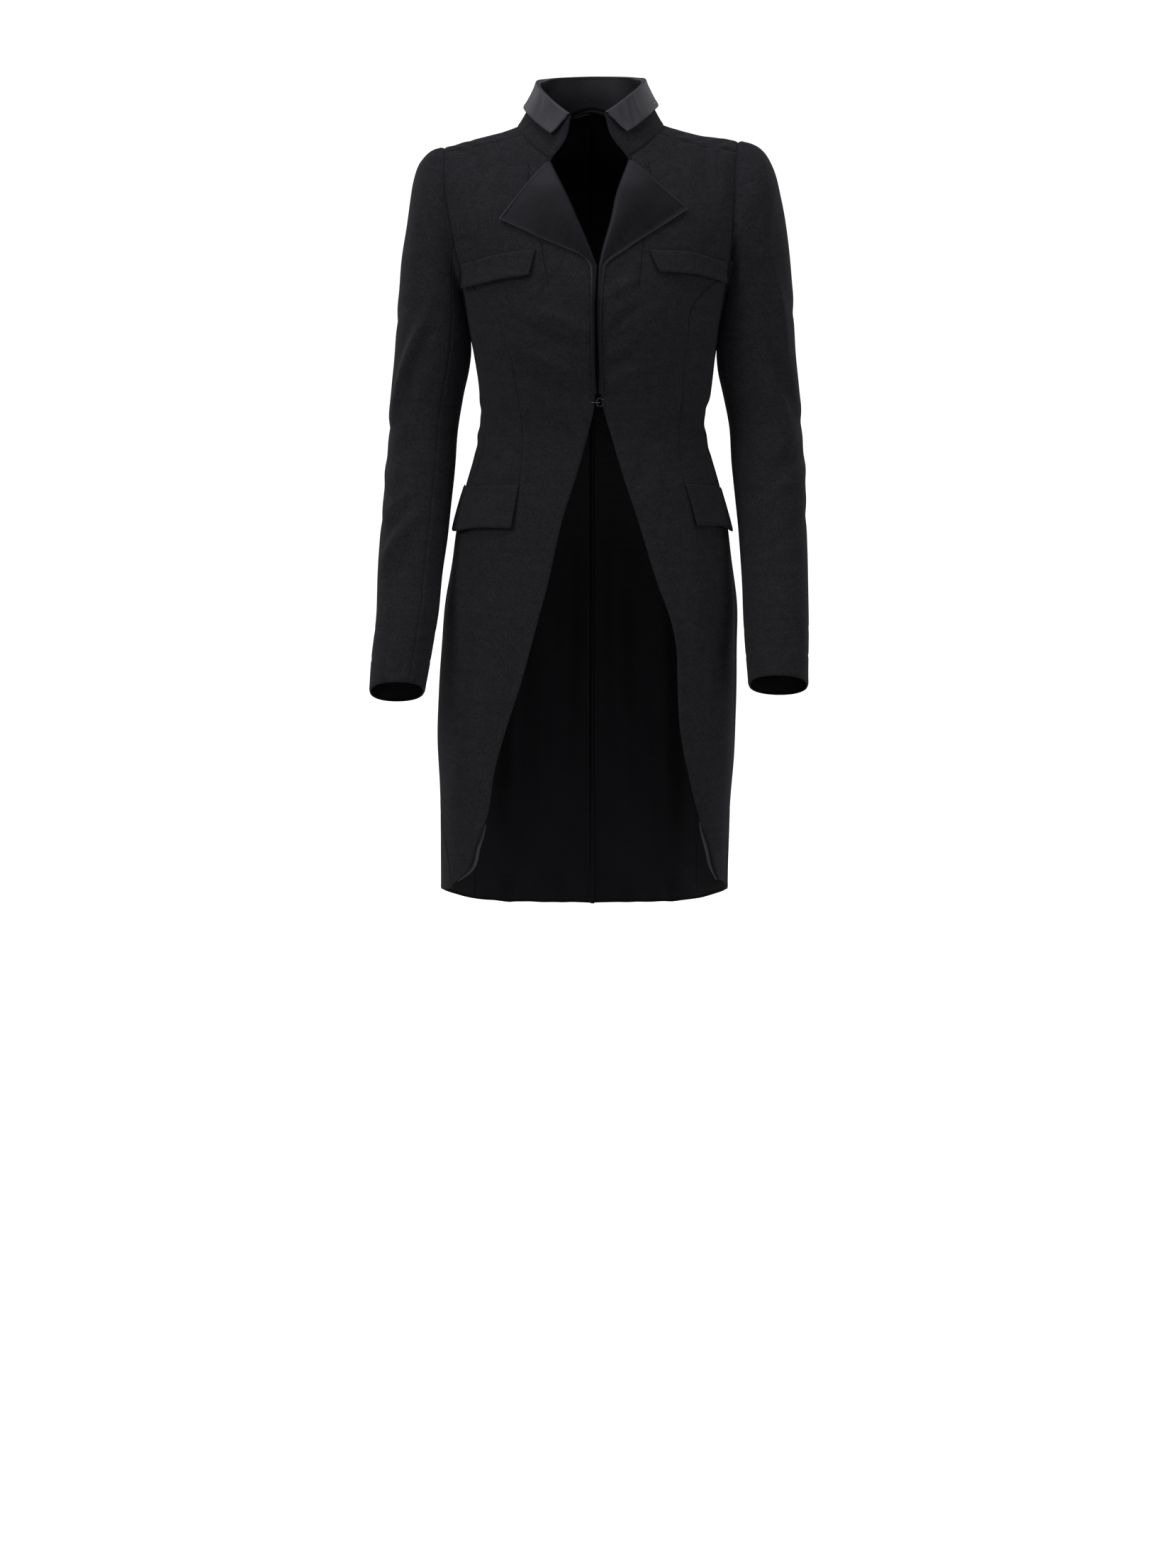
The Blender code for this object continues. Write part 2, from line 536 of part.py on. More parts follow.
# Sleeve sections: outer and inner end of each, middle depth, half depth front to back, front edge raised
SLEEVES = {
    LEFT: table("k out_x out_z in_x in_z mid_y depth raise",
                (1, 0.1775, -0.0172, 0.1515, -0.1925, 0.004, 0.060, 0),
                (2, 0.1850, -0.0200, 0.1505, -0.1960, 0.004, 0.061, 0),
                (3, 0.1925, -0.0265, 0.1494, -0.2005, 0.004, 0.061, 0),
                (4, 0.2010, -0.0385, 0.1480, -0.2070, 0.004, 0.061, 0),
                (5, 0.2065, -0.0560, 0.1463, -0.2150, 0.004, 0.060, 0),
                (6, 0.2105, -0.0780, 0.1443, -0.2260, 0.004, 0.058, 0),
                (7, 0.2155, -0.1100, 0.1422, -0.2400, 0.004, 0.056, 0),
                (8, 0.2215, -0.1500, 0.1415, -0.2570, 0.004, 0.055, 0),
                (9, 0.2250, -0.1950, 0.1440, -0.2800, 0.005, 0.054, 0),
                (10, 0.2300, -0.2500, 0.1500, -0.3080, 0.006, 0.053, 0.002),
                (11, 0.2350, -0.3050, 0.1560, -0.3450, 0.005, 0.051, 0.004),
                (12, 0.2380, -0.3580, 0.1595, -0.3850, 0.000, 0.050, 0.006),
                (13, 0.2420, -0.4080, 0.1635, -0.4250, -0.008, 0.048, 0.008),
                (14, 0.2465, -0.4580, 0.1680, -0.4680, -0.020, 0.046, 0.009),
                (15, 0.2500, -0.5080, 0.1740, -0.5130, -0.034, 0.043, 0.010),
                (16, 0.2515, -0.5560, 0.1790, -0.5580, -0.049, 0.040, 0.014),
                (17, 0.2570, -0.6020, 0.1865, -0.6020, -0.061, 0.038, 0.016),
                (18, 0.2600, -0.6460, 0.1945, -0.6450, -0.071, 0.037, 0.018)),
    RIGHT: table("k out_x out_z in_x in_z mid_y depth raise",
                 (1, 0.1775, -0.0065, 0.1580, -0.1925, 0.004, 0.060, 0),
                 (2, 0.1870, -0.0105, 0.1572, -0.1960, 0.004, 0.061, 0),
                 (3, 0.1970, -0.0180, 0.1562, -0.2005, 0.004, 0.061, 0),
                 (4, 0.2060, -0.0300, 0.1550, -0.2070, 0.004, 0.061, 0),
                 (5, 0.2140, -0.0470, 0.1534, -0.2150, 0.004, 0.060, 0),
                 (6, 0.2200, -0.0700, 0.1512, -0.2260, 0.004, 0.058, 0),
                 (7, 0.2265, -0.1030, 0.1496, -0.2400, 0.004, 0.056, 0),
                 (8, 0.2325, -0.1500, 0.1488, -0.2570, 0.004, 0.055, 0),
                 (9, 0.2357, -0.1980, 0.1500, -0.2800, 0.005, 0.054, 0),
                 (10, 0.2394, -0.2500, 0.1550, -0.3080, 0.006, 0.053, 0.002),
                 (11, 0.2448, -0.3050, 0.1622, -0.3450, 0.005, 0.051, 0.004),
                 (12, 0.2486, -0.3580, 0.1650, -0.3850, 0.000, 0.050, 0.006),
                 (13, 0.2510, -0.4080, 0.1690, -0.4250, -0.008, 0.048, 0.008),
                 (14, 0.2530, -0.4580, 0.1735, -0.4680, -0.020, 0.046, 0.009),
                 (15, 0.2540, -0.5080, 0.1760, -0.5130, -0.034, 0.043, 0.010),
                 (16, 0.2547, -0.5540, 0.1775, -0.5560, -0.049, 0.040, 0.014),
                 (17, 0.2545, -0.5980, 0.1800, -0.5970, -0.061, 0.038, 0.016),
                 (18, 0.2545, -0.6385, 0.1835, -0.6370, -0.071, 0.037, 0.018)),
}
SLEEVE_ROUNDNESS = 2.15
SLEEVE_SEAM_TURN = 0.30   # half a sleeve seam's gap as an angle
ARMHOLE_STEP = 0.0007     # the sleeve starts this far outside the armhole edge
SLEEVE_SEAMS = {LEFT: (116.0, 238.0), RIGHT: (138.0, 238.0)}


def armhole_loop(side, angles):
    """Armhole points at the given angles round it: 0 at the top, 90 in front, 180 below."""
    front = armhole_front(side, np.linspace(0, ARMHOLE["a"][-1], 20))
    under = armhole_under(side, np.linspace(ARMHOLE_UNDER["a"][0], ARMHOLE_UNDER["a"][-1], 20)[1:])
    back = armhole_back(side, np.linspace(ARMHOLE_BACK["a"][0], ARMHOLE_BACK["a"][-1], 16)[1:])
    top = armhole_top(side, np.linspace(0, 1, 10)[1:-1])
    points = form_point(side, *join(front, under, back, top))
    round_it = np.degrees(np.arctan2(-points[:, 1], points[:, 2] + 0.10)) % 360
    order = np.argsort(round_it)
    round_it, points = round_it[order], points[order]
    round_it = np.concatenate([round_it - 360, round_it, round_it + 360])
    return np.stack([np.interp(angles, round_it, np.tile(points[:, axis], 3)) for axis in range(3)], -1)


def sleeve_surface(side, angles, stations):
    """Grid of sleeve points: rows are stations down the arm, columns are angles round it."""
    tab = SLEEVES[side]
    angle = np.radians(angles)[None, :]
    ends = {name: read(tab, "k", name, np.maximum(stations, 1))[:, None] for name in tab}
    along = signed_power(np.cos(angle), 2 / SLEEVE_ROUNDNESS)
    deep = signed_power(np.sin(angle), 2 / SLEEVE_ROUNDNESS)
    x = (ends["out_x"] + ends["in_x"]) / 2 + (ends["out_x"] - ends["in_x"]) / 2 * along
    y = ends["mid_y"] - ends["depth"] * deep
    z = (ends["out_z"] + ends["in_z"]) / 2 + (ends["out_z"] - ends["in_z"]) / 2 * along + ends["raise"] * deep
    rings = np.stack([side * x, y, z], -1)
    loop = armhole_loop(side, np.asarray(angles)) + np.array([side * ARMHOLE_STEP, 0, 0])
    into = np.clip(stations / 4, 0, 1)[:, None, None]
    ease = into * into * (3 - 2 * into)
    moved = loop[None] + rings - sleeve_ring_one(side, angles)
    points = moved * (1 - ease) + rings * ease
    points[stations == 0] = loop
    return points


def sleeve_ring_one(side, angles):
    """The section at the armhole as the plain table would give it."""
    tab = SLEEVES[side]
    angle = np.radians(angles)
    along = signed_power(np.cos(angle), 2 / SLEEVE_ROUNDNESS)
    deep = signed_power(np.sin(angle), 2 / SLEEVE_ROUNDNESS)
    first = {name: column[0] for name, column in tab.items()}
    x = (first["out_x"] + first["in_x"]) / 2 + (first["out_x"] - first["in_x"]) / 2 * along
    y = first["mid_y"] - first["depth"] * deep
    z = (first["out_z"] + first["in_z"]) / 2 + (first["out_z"] - first["in_z"]) / 2 * along
    return np.stack([side * (x - 0.004), y, z], -1)[None]


def sleeve_half(name, side, angles):
    stations = np.concatenate([np.arange(0, 12, 1.0), np.arange(12, 18.01, 0.75)])
    points = sleeve_surface(side, angles, stations)
    seam_to_seam = np.concatenate([[angles[0] - SLEEVE_SEAM_TURN], angles[1:-1], [angles[-1] + SLEEVE_SEAM_TURN]])
    round_it = (sleeve_surface(side, seam_to_seam + 1.5, stations)
                - sleeve_surface(side, seam_to_seam - 1.5, stations))
    down = np.gradient(sleeve_surface(side, seam_to_seam, stations), axis=0)
    normal = np.cross(round_it, down) * side
    normal[0] = normal[1]
    normal = normal / np.linalg.norm(normal, axis=-1, keepdims=True)
    folds = fold_height(SLEEVE_FOLDS, side, points[..., 0], points[..., 2])
    folds = folds * np.clip(-normal[..., 1], 0, 1)
    outer = points + normal * folds[..., None]
    return wall(name, outer, outer - normal * WOOL_WALL, WOOL)


def sleeve(side):
    """Two-piece sleeve: the under sleeve lies between the two seams on the body side."""
    front_seam, back_seam = SLEEVE_SEAMS[side]
    gap = SLEEVE_SEAM_TURN
    under = np.linspace(front_seam + gap, back_seam - gap, 9)
    top = np.linspace(back_seam + gap, front_seam + 360 - gap, 15)
    sleeve_half("under_sleeve_" + side_name(side), side, under)
    sleeve_half("top_sleeve_" + side_name(side), side, top)


# Fold line of the collar, from the left front tip round the back to the right front tip
COLLAR_TOP = table("u x y z", (-1, -0.0246, -0.0650, 0.0220), (-0.8, -0.0450, -0.0480, 0.0370),
                   (-0.55, -0.0625, -0.0060, 0.0545), (-0.3, -0.0500, 0.0380, 0.0575), (0, 0, 0.0610, 0.0585),
                   (0.3, 0.0500, 0.0380, 0.0590), (0.55, 0.0615, -0.0060, 0.0570),
                   (0.8, 0.0400, -0.0480, 0.0400), (1, 0.0160, -0.0650, 0.0240))
FALL_DEPTH = 0.50         # the turned-down part reaches this share of the stand's height
FALL_PULL = 0.10          # its front corners lie this much further back than the tips


def stand_surface(u, v):
    """Collar stand: straight lines from the neck seam to the fold line, slightly hollow."""
    u, v = np.broadcast_arrays(u, v)
    side_share = np.abs(u)
    bottoms = []
    for side in (LEFT, RIGHT):
        turn, drop = neck_place(side, 1 - side_share, True)
        bottoms.append(form_point(side, turn, drop))
    bottom = np.where((u < 0)[..., None], bottoms[0], bottoms[1])
    top = np.stack([read(COLLAR_TOP, "u", axis, u) for axis in "xyz"], -1)
    rise = top - bottom
    length = np.linalg.norm(rise, axis=-1, keepdims=True)
    away = top * np.array([1, 1, 0])
    away = away / np.linalg.norm(away, axis=-1, keepdims=True)
    hollow = -0.0025 * np.sin(np.pi * v)
    lifted = v + (SEAM_GAP + 0.0006) / length[..., 0] * (1 - v)
    return bottom + rise * lifted[..., None] + away * hollow[..., None]


def collar_stand():
    u = np.linspace(-1, 1, 37)[None, :]
    v = np.linspace(0, 1, 5)[:, None]
    points = stand_surface(u, v)
    normal = -grid_normals(points)
    wall("collar_stand", points, points - normal * WOOL_WALL, WOOL)


def collar_fall():
    """Satin collar: up the inside of the stand, over its fold line and down its outside."""
    inside = -(WOOL_WALL + LAY_GAP + SATIN_WALL)
    over = LAY_GAP + SATIN_WALL
    # height on the stand, distance outside it, rise above it, share of the way down the fall
    profile = table("v out rise down", (0.06, inside, 0, 0), (0.35, inside, 0, 0), (0.65, inside, 0, 0),
                    (0.93, inside, 0, 0), (1.0, inside * 0.9, over * 0.85, 0), (1.0, -0.001, over * 1.35, 0),
                    (1.0, 0.0018, over * 0.9, 0.05), (0.92, 0.0027, 0, 0.2), (0.76, 0.0038, 0, 0.55),
                    (FALL_DEPTH, 0.0060, 0, 1))
    along = np.linspace(-0.992, 0.992, 37)[None, :]
    down = profile["down"][:, None]
    u = along * (1 - FALL_PULL * down)
    v = np.broadcast_to(profile["v"][:, None], u.shape)
    points = stand_surface(u, v)
    step = 0.01
    normal = -np.cross(stand_surface(u + step, v) - stand_surface(u - step, v),
                       stand_surface(u, v + step) - stand_surface(u, v - step))
    normal = -normal / np.linalg.norm(normal, axis=-1, keepdims=True)
    outward = np.sign(np.sum(normal * (points * np.array([1, 1, 0])), -1, keepdims=True))
    points = points + normal * outward * profile["out"][:, None, None]
    points = points + profile["rise"][:, None, None] * np.array([0, 0, 1])
    facing = grid_normals(points)
    wall("collar_fall", points, points - facing * SATIN_WALL, LIGHT_SATIN)


# Outer outline of the lapel: from the gorge at the neck corner, by the point, to the break
LAPEL = {LEFT: table("s x z", (0, 0.1045, -0.0935), (0.3, 0.0820, -0.1030), (0.55, 0.0590, -0.1130),
                     (0.8, 0.0219, -0.1240), (0.92, 0.0050, -0.1310), (1, -0.0015, -0.1440)),
         RIGHT: table("s x z", (0, 0.1093, -0.0827), (0.25, 0.0846, -0.0980), (0.55, 0.0515, -0.1177),
                      (0.8, 0.0275, -0.1300), (0.92, 0.0155, -0.1370), (1, 0.0125, -0.1440))}
STRIP_WIDTH = 0.0022      # satin that shows along the front edge
FOLD_GAP = 0.0005         # between the wool's edge and the satin folded round it
BEHIND_WIDTH = 0.007      # satin that is turned in behind the edge


def satin_facing(side):
    """Lapel and facing in one: turned over the roll line above, a narrow strip down to the hook."""
    roll = np.append(ROLL_ROWS[::-1], 0)
    strip_z = CHEST_ROWS["edge"][::-1][1:STRIP_ROWS]
    line = join(roll_places(side, roll), edge_places(side, strip_z))
    lapel = LAPEL[side]
    reach = place_at(side, read(lapel, "s", "x", 1 - roll), read(lapel, "s", "z", 1 - roll))
    strip_x = side * read(EDGE, "z", side_name(side), strip_z) + EDGE_ROOM + STRIP_WIDTH
    out = join(reach, place_at(side, strip_x, strip_z))
    ahead = np.linspace(0, 1, 7)[1:]
    turn_over, drop_over = grid(line, out, ahead)
    width = np.linalg.norm(form_point(side, *out) - form_point(side, *line), axis=-1)[:, None]
    stand_off = np.minimum(width * 0.03, 0.0030) * ahead[None, :]
    front_part, _ = body_surface(side, turn_over, drop_over, LAPEL_GAP + SATIN_WALL + stand_off)
    edge_point, normal = body_surface(side, *line)
    inward = form_point(side, line[0] + 0.5, line[1]) - form_point(side, line[0] - 0.5, line[1])
    tangent = np.gradient(edge_point, axis=0)
    inward = inward - tangent * (np.sum(inward * tangent, -1) / np.sum(tangent * tangent, -1))[:, None]
    inward = inward / np.linalg.norm(inward, axis=-1, keepdims=True)
    middle = edge_point - normal * (WOOL_WALL / 2)
    radius = WOOL_WALL / 2 + FOLD_GAP + SATIN_WALL
    bend = []
    for angle in np.radians([-90, -45, 0, 45, 90]):
        bend.append(middle + normal * radius * np.sin(angle) - inward * (radius * np.cos(angle)))
    behind = middle - normal * (radius + BEHIND_WIDTH * 0.08) + inward * BEHIND_WIDTH
    points = np.concatenate([np.stack([behind] + bend, 1), front_part], 1)
    facing = grid_normals(points)
    facing = facing * np.sign(np.sum(facing[:, -1] * normal))
    return wall("facing_" + side_name(side), points, points - facing * SATIN_WALL, SATIN)


def hem_facing(side):
    """Satin sliver that shows where the lower front corner curls away."""
    z = np.linspace(-0.800, -0.874, 9)
    places = edge_places(side, z)
    point, normal = body_surface(side, *places)
    tangent = np.gradient(point, axis=0)
    tangent = tangent / np.linalg.norm(tangent, axis=-1, keepdims=True)
    inward = np.cross(tangent, normal)
    inward = inward * np.sign(np.sum(inward[0] * np.array([side, 0, 0])))
    swell = np.sin(np.linspace(0.25, 1, 9) * np.pi * 0.8)[:, None]
    under = WOOL_WALL + LAY_GAP * 1.4
    columns = [point - normal * under + inward * (0.014 - 0.0045 * step) for step in range(3)]
    columns.append(point - normal * (under + 0.0006) - inward * 0.0040 * swell)
    points = np.stack(columns, 1)
    return wall("hem_facing_" + side_name(side), points, points - normal[:, None] * SATIN_WALL, LIGHT_SATIN)


# Pocket flaps: upper and lower edge, each from the front end to the back end
FLAPS = {
    "chest_flap_left": (LEFT, table("s x z", (0, 0.0635, -0.1261), (0.5, 0.1040, -0.1320), (1, 0.1460, -0.1455)),
                        table("s x z", (0, 0.0704, -0.1549), (0.5, 0.1080, -0.1620), (1, 0.1455, -0.1738))),
    "chest_flap_right": (RIGHT, table("s x z", (0, 0.0660, -0.1268), (0.5, 0.1130, -0.1300), (1, 0.1530, -0.1440)),
                         table("s x z", (0, 0.0770, -0.1514), (0.5, 0.1180, -0.1560), (1, 0.1525, -0.1675))),
    "hip_flap_left": (LEFT, table("s x z", (0, 0.0834, -0.3996), (0.5, 0.1210, -0.4035), (1, 0.1478, -0.4115)),
                      table("s x z", (0, 0.0912, -0.4494), (0.5, 0.1310, -0.4530), (1, 0.1588, -0.4640))),
    "hip_flap_right": (RIGHT, table("s x z", (0, 0.1085, -0.3999), (0.5, 0.1340, -0.4050), (1, 0.1500, -0.4120)),
                       table("s x z", (0, 0.1212, -0.4494), (0.5, 0.1480, -0.4540), (1, 0.1610, -0.4650))),
}


def flap(name, side, upper, lower, stand_off=0.0035):
    """Flap sewn on along its upper edge; its lower edge stands a little off the cloth."""
    s = np.sin(np.linspace(0, np.pi / 2, 10))
    start = place_at(side, read(upper, "s", "x", s), read(upper, "s", "z", s))
    end = place_at(side, read(lower, "s", "x", s), read(lower, "s", "z", s))
    shares = np.linspace(0, 1, 5)
    turn, drop = grid(start, end, shares)
    lift = FLAP_GAP + WOOL_WALL + stand_off * shares[None, :] ** 1.5
    points, normal = body_surface(side, turn, drop, lift)
    return wall(name, points, points - normal * WOOL_WALL, WOOL)


def wire(name, path, radius, sides=6):
    """Round wire along a path of points."""
    path = np.array(path, float)
    tangent = np.gradient(path, axis=0)
    tangent = tangent / np.linalg.norm(tangent, axis=-1, keepdims=True)
    across = np.cross(tangent, np.array([0, 1, 0.01]))
    across = across / np.linalg.norm(across, axis=-1, keepdims=True)
    third = np.cross(tangent, across)
    bm = bmesh.new()
    rings = []
    for centre, a, b in zip(path, across, third):
        ring = []
        for k in range(sides):
            angle = 2 * np.pi * k / sides
            ring.append(bm.verts.new(centre + radius * (np.cos(angle) * a + np.sin(angle) * b)))
        rings.append(ring)
    for low, high in zip(rings, rings[1:]):
        for k in range(sides):
            bm.faces.new((low[k], low[(k + 1) % sides], high[(k + 1) % sides], high[k]))
    bm.faces.new(rings[0][::-1])
    bm.faces.new(rings[-1])
    return add_object(name, bm, METAL)


def on_cloth(side, x, z, radius):
    """Centre of a wire that lies on the cloth at the front-view place (x, z), or just past its edge."""
    edge = side * read(EDGE, "z", side_name(side), z) + WIRE_INSET
    cloth = body_surface(side, *place_at(side, np.maximum(side * x, edge), z))[0]
    return cloth[..., 1] - radius - WIRE_GAP


def hook_and_eye():
    """Wire eye sewn to the right front, and a hook from the left front that goes over and into it."""
    radius = 0.0005
    left_x, right_x = (float(read(EDGE, "z", name, HOOK_Z)) for name in ("left", "right"))
    middle_x = (left_x + right_x) / 2
    half_eye = [(right_x + 0.0026, 0.0030), (right_x + 0.0010, 0.0034), (right_x - 0.0010, 0.0047),
                (middle_x + 0.0008, 0.0048), (middle_x - 0.0008, 0.0036), (middle_x - 0.0017, 0.0018)]
    path = half_eye + [(middle_x - 0.0020, 0)] + [(x, -z) for x, z in half_eye[::-1]]
    eye = [(x, float(on_cloth(RIGHT, x, HOOK_Z + z, radius)), HOOK_Z + z) for x, z in path]
    wire("eye", eye, radius)
    eye_y = eye[len(half_eye)][1]
    front_y = eye_y - 2 * radius - SEAM_GAP
    left_y = float(on_cloth(LEFT, left_x - 0.0030, HOOK_Z, radius))
    hook = [(left_x - 0.0042, left_y, HOOK_Z), (left_x - 0.0014, left_y, HOOK_Z),
            (middle_x - 0.0036, (left_y + front_y) / 2, HOOK_Z), (middle_x - 0.0021, front_y, HOOK_Z),
            (middle_x - 0.0002, front_y, HOOK_Z), (middle_x + 0.0010, front_y + 0.0005, HOOK_Z),
            (middle_x + 0.0015, eye_y - 0.0002, HOOK_Z), (middle_x + 0.0011, eye_y + 0.0010, HOOK_Z)]
    wire("hook", hook, radius)


def build():
    clear_scene()
    for side in (LEFT, RIGHT):
        front_panel(side)
        side_front_panel(side)
        side_back_panel(side)
        back_panel(side)
        sleeve(side)
        satin_facing(side)
        hem_facing(side)
    collar_stand()
    collar_fall()
    for name, (side, upper, lower) in FLAPS.items():
        flap(name, side, upper, lower)
    hook_and_eye()


build()
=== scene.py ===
import math

import bpy
import numpy as np
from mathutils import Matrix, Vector


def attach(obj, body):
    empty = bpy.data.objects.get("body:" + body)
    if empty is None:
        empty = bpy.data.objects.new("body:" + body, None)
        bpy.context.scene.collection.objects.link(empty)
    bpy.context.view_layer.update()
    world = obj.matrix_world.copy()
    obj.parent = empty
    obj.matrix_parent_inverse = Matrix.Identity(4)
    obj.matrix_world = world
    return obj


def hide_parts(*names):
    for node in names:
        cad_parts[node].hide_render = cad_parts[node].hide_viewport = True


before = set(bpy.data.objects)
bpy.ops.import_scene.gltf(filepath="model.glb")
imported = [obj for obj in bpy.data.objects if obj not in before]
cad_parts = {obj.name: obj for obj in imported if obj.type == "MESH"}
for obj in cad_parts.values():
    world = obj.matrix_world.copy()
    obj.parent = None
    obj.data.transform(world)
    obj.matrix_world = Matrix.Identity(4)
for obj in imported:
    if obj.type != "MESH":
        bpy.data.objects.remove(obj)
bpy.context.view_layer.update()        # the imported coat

# A women's cut black wool tailcoat, worn and hollow. Units are metres, the front faces -Y, and
# "left" and "right" are the viewer's. All cloth is worked out as grids of points with numpy.
# The text tables are in tenths of a millimetre.
leftSide, rightSide = -1, 1
sideNames = {leftSide: "left", rightSide: "right"}


# Tables and smooth curves.
def numbers(text):
    return np.array([line.split() for line in text.strip().split("\n")], float)


def table(names, text, plain=""):
    # rows of text as one array for each named column; plain columns are shares, turns or row numbers
    return {name: column if name in plain.split() else column / 10000
            for name, column in zip(names.split(), numbers(text).T)}


def bothSides(left, right):
    return {leftSide: numbers(left) / 10000, rightSide: numbers(right) / 10000}


def smoothCurve(xs, ys, x):
    # cubic through the points with the mean slope at each point, held level past both ends
    order = np.argsort(xs)
    xs, ys = np.asarray(xs, float)[order], np.asarray(ys, float)[order]
    x = np.clip(x, xs[0], xs[-1])
    i = np.clip(np.searchsorted(xs, x, side="right") - 1, 0, len(xs) - 2)
    width = xs[i + 1] - xs[i]
    t = (x - xs[i]) / width
    slope = np.gradient(ys, xs)
    low, high = slope[i] * width, slope[i + 1] * width
    return ((2 * t**3 - 3 * t**2 + 1) * ys[i] + (t**3 - 2 * t**2 + t) * low
            + (3 * t**2 - 2 * t**3) * ys[i + 1] + (t**3 - t**2) * high)


def read(tab, column, x):
    # smooth curve of a column, or of a side's own column, over the table's first column
    return smoothCurve(tab[next(iter(tab))], tab[sideNames.get(column, column)], x)


def signedPower(value, power):
    return np.sign(value) * np.abs(value) ** power


def bell(distance, width):
    return np.exp(-(distance / width) ** 2)


def unit(vectors):
    return vectors / np.linalg.norm(vectors, axis=-1, keepdims=True)


# The form under the cloth.
roundness = 2.3          # exponent of the rounded sections
shoulderDepth = 0.09     # how far down the rounding of the shoulder reaches
quarterDrop = shoulderDepth * math.pi / 2
waistZ, hookZ, ridgeTipX, backSeamTurn = -0.34, -0.302, 0.17, 130.0

bodyForm = table("z left right front back", """
600 1900 1900 620 940
0 1900 1900 680 960
-300 1900 1900 760 980
-600 1880 1880 900 1000
-1000 1810 1820 1080 1020
-1500 1630 1680 1220 1020
-1900 1490 1560 1270 990
-2250 1405 1475 1230 940
-2600 1360 1440 1140 880
-3000 1312 1405 1040 830
-3400 1305 1330 970 820
-3750 1370 1405 980 880
-4100 1465 1505 1010 980
-4500 1565 1590 1040 1100
-5000 1640 1660 1070 1190
-5500 1720 1718 1100 1240
-6000 1770 1718 1120 1270
-7000 1830 1715 1140 1310
-8000 1802 1660 1160 1340
-9600 1790 1620 1180 1380
""")
shoulderRidge = table("x left right", """
0 360 370
500 200 210
850 65 75
1050 -5 18
1280 -65 -40
1600 -150 -85
1900 -235 -165
""")
frontEdge = table("z left right", """
-1440 68 80
-1800 47 68
-2500 44 78
-3020 45 118
-3380 -33 220
-3880 -173 368
-4370 -329 533
-5120 -502 765
-5620 -635 939
-5930 -718 995
-6250 -805 1006
-6875 -1002 1043
-7380 -1136 1136
-7940 -1230 1279
-8260 -1362 1389
-8550 -1446 1458
-8740 -1601 1512
""")
rollLine = {leftSide: table("r x z", """
0 68 -1440
0.25 -33 -1185
0.5 -147 -927
0.8 -300 -600
1 -465 -290
""", "r"), rightSide: table("r x z", """
0 80 -1440
0.2 122 -1250
0.5 215 -930
0.8 300 -580
1 424 -275
""", "r")}
neckSeam = {leftSide: table("n x drop", """
0 465 980
0.18 700 670
0.3 800 400
0.42 860 160
0.52 845 20
0.66 700 200
0.82 400 440
1 0 520
""", "n"), rightSide: table("n x drop", """
0 424 980
0.18 665 670
0.3 775 400
0.42 840 160
0.52 835 20
0.66 700 200
0.82 400 440
1 0 520
""", "n")}
shoulderSeamAt, ridgeAt = 0.3, 0.515     # share of the neck seam at the shoulder seam and at the ridge
armholeFrontLine = table("a left right z", """
0 1690 1690 -220
0.08 1695 1670 -450
0.17 1670 1650 -720
0.26 1620 1625 -1000
0.35 1560 1610 -1300
0.43 1490 1575 -1580
""", "a")
armholeUnderLine = table("a turn z", """
0.43 66 -1580
0.47 78 -1810
0.5 90 -1900
0.54 106 -1800
0.59 121 -1560
""", "a turn")
armholeBackLine = table("a x z", """
0.59 1500 -1560
0.68 1520 -1200
0.78 1570 -800
0.88 1640 -420
0.94 1680 -220
""", "a")
frontSeam = table("z left right", """
-1580 1480 1560
-1750 1330 1310
-1900 1190 1175
-2250 1000 1110
-2650 906 1070
-3110 822 1045
-3420 791 1022
-3750 812 1045
-4040 840 1085
""")
sideSeam = table("z left right", """
-1900 90 90
-2500 81 86
-3100 73 83
-3500 68 82
-3850 71 83
-4200 80 84
-4600 88 85
-5000 91 86
-7000 92 87
-7870 83 84
-8250 73 80
-8600 67 78
-8900 65 77
""", "left right")
hemLine = table("turn z", """
50 -8760
65 -8840
90 -8970
110 -9130
130 -9290
150 -9390
180 -9440
""", "turn")
# heights of the same rows at the front edge, front seam, side seam and back seam
skirtRows = table("edge side back", """
-8740 -8840 -9280
-8550 -8680 -9000
-8260 -8400 -8650
-7940 -8060 -8200
-7380 -7380 -7420
-6875 -6875 -6900
-6400 -6400 -6400
-5950 -5950 -5950
-5500 -5500 -5500
-5000 -5000 -5000
-4550 -4550 -4550
-4250 -4250 -4250
-4040 -4040 -4040
""")
chestRows = table("edge seam side back", """
-3750 -3750 -3780 -3780
-3450 -3450 -3500 -3500
-3220 -3220 -3270 -3250
-3020 -3020 -3070 -3030
-2920 -2870 -2900 -2830
-2720 -2680 -2740 -2640
-2500 -2480 -2590 -2470
-2300 -2290 -2450 -2310
-2070 -2110 -2320 -2150
-1880 -1950 -2200 -2000
-1720 -1820 -2090 -1850
-1570 -1700 -1990 -1700
-1440 -1580 -1900 -1560
""")
rollRows = np.array([0, 0.14, 0.28, 0.42, 0.57, 0.72, 0.86, 1.0])
pocketZ, backNotchZ = skirtRows["edge"][-1], chestRows["back"][-1]
skirtTop = len(skirtRows["edge"]) - 1                 # row number of the pocket line
chestTop = skirtTop + len(chestRows["edge"])          # row number of the break and the notches
rollTop = chestTop + len(rollRows) - 1                # row number of the neck corner


def ridgeHeight(side, x):
    return read(shoulderRidge, side, np.abs(x))


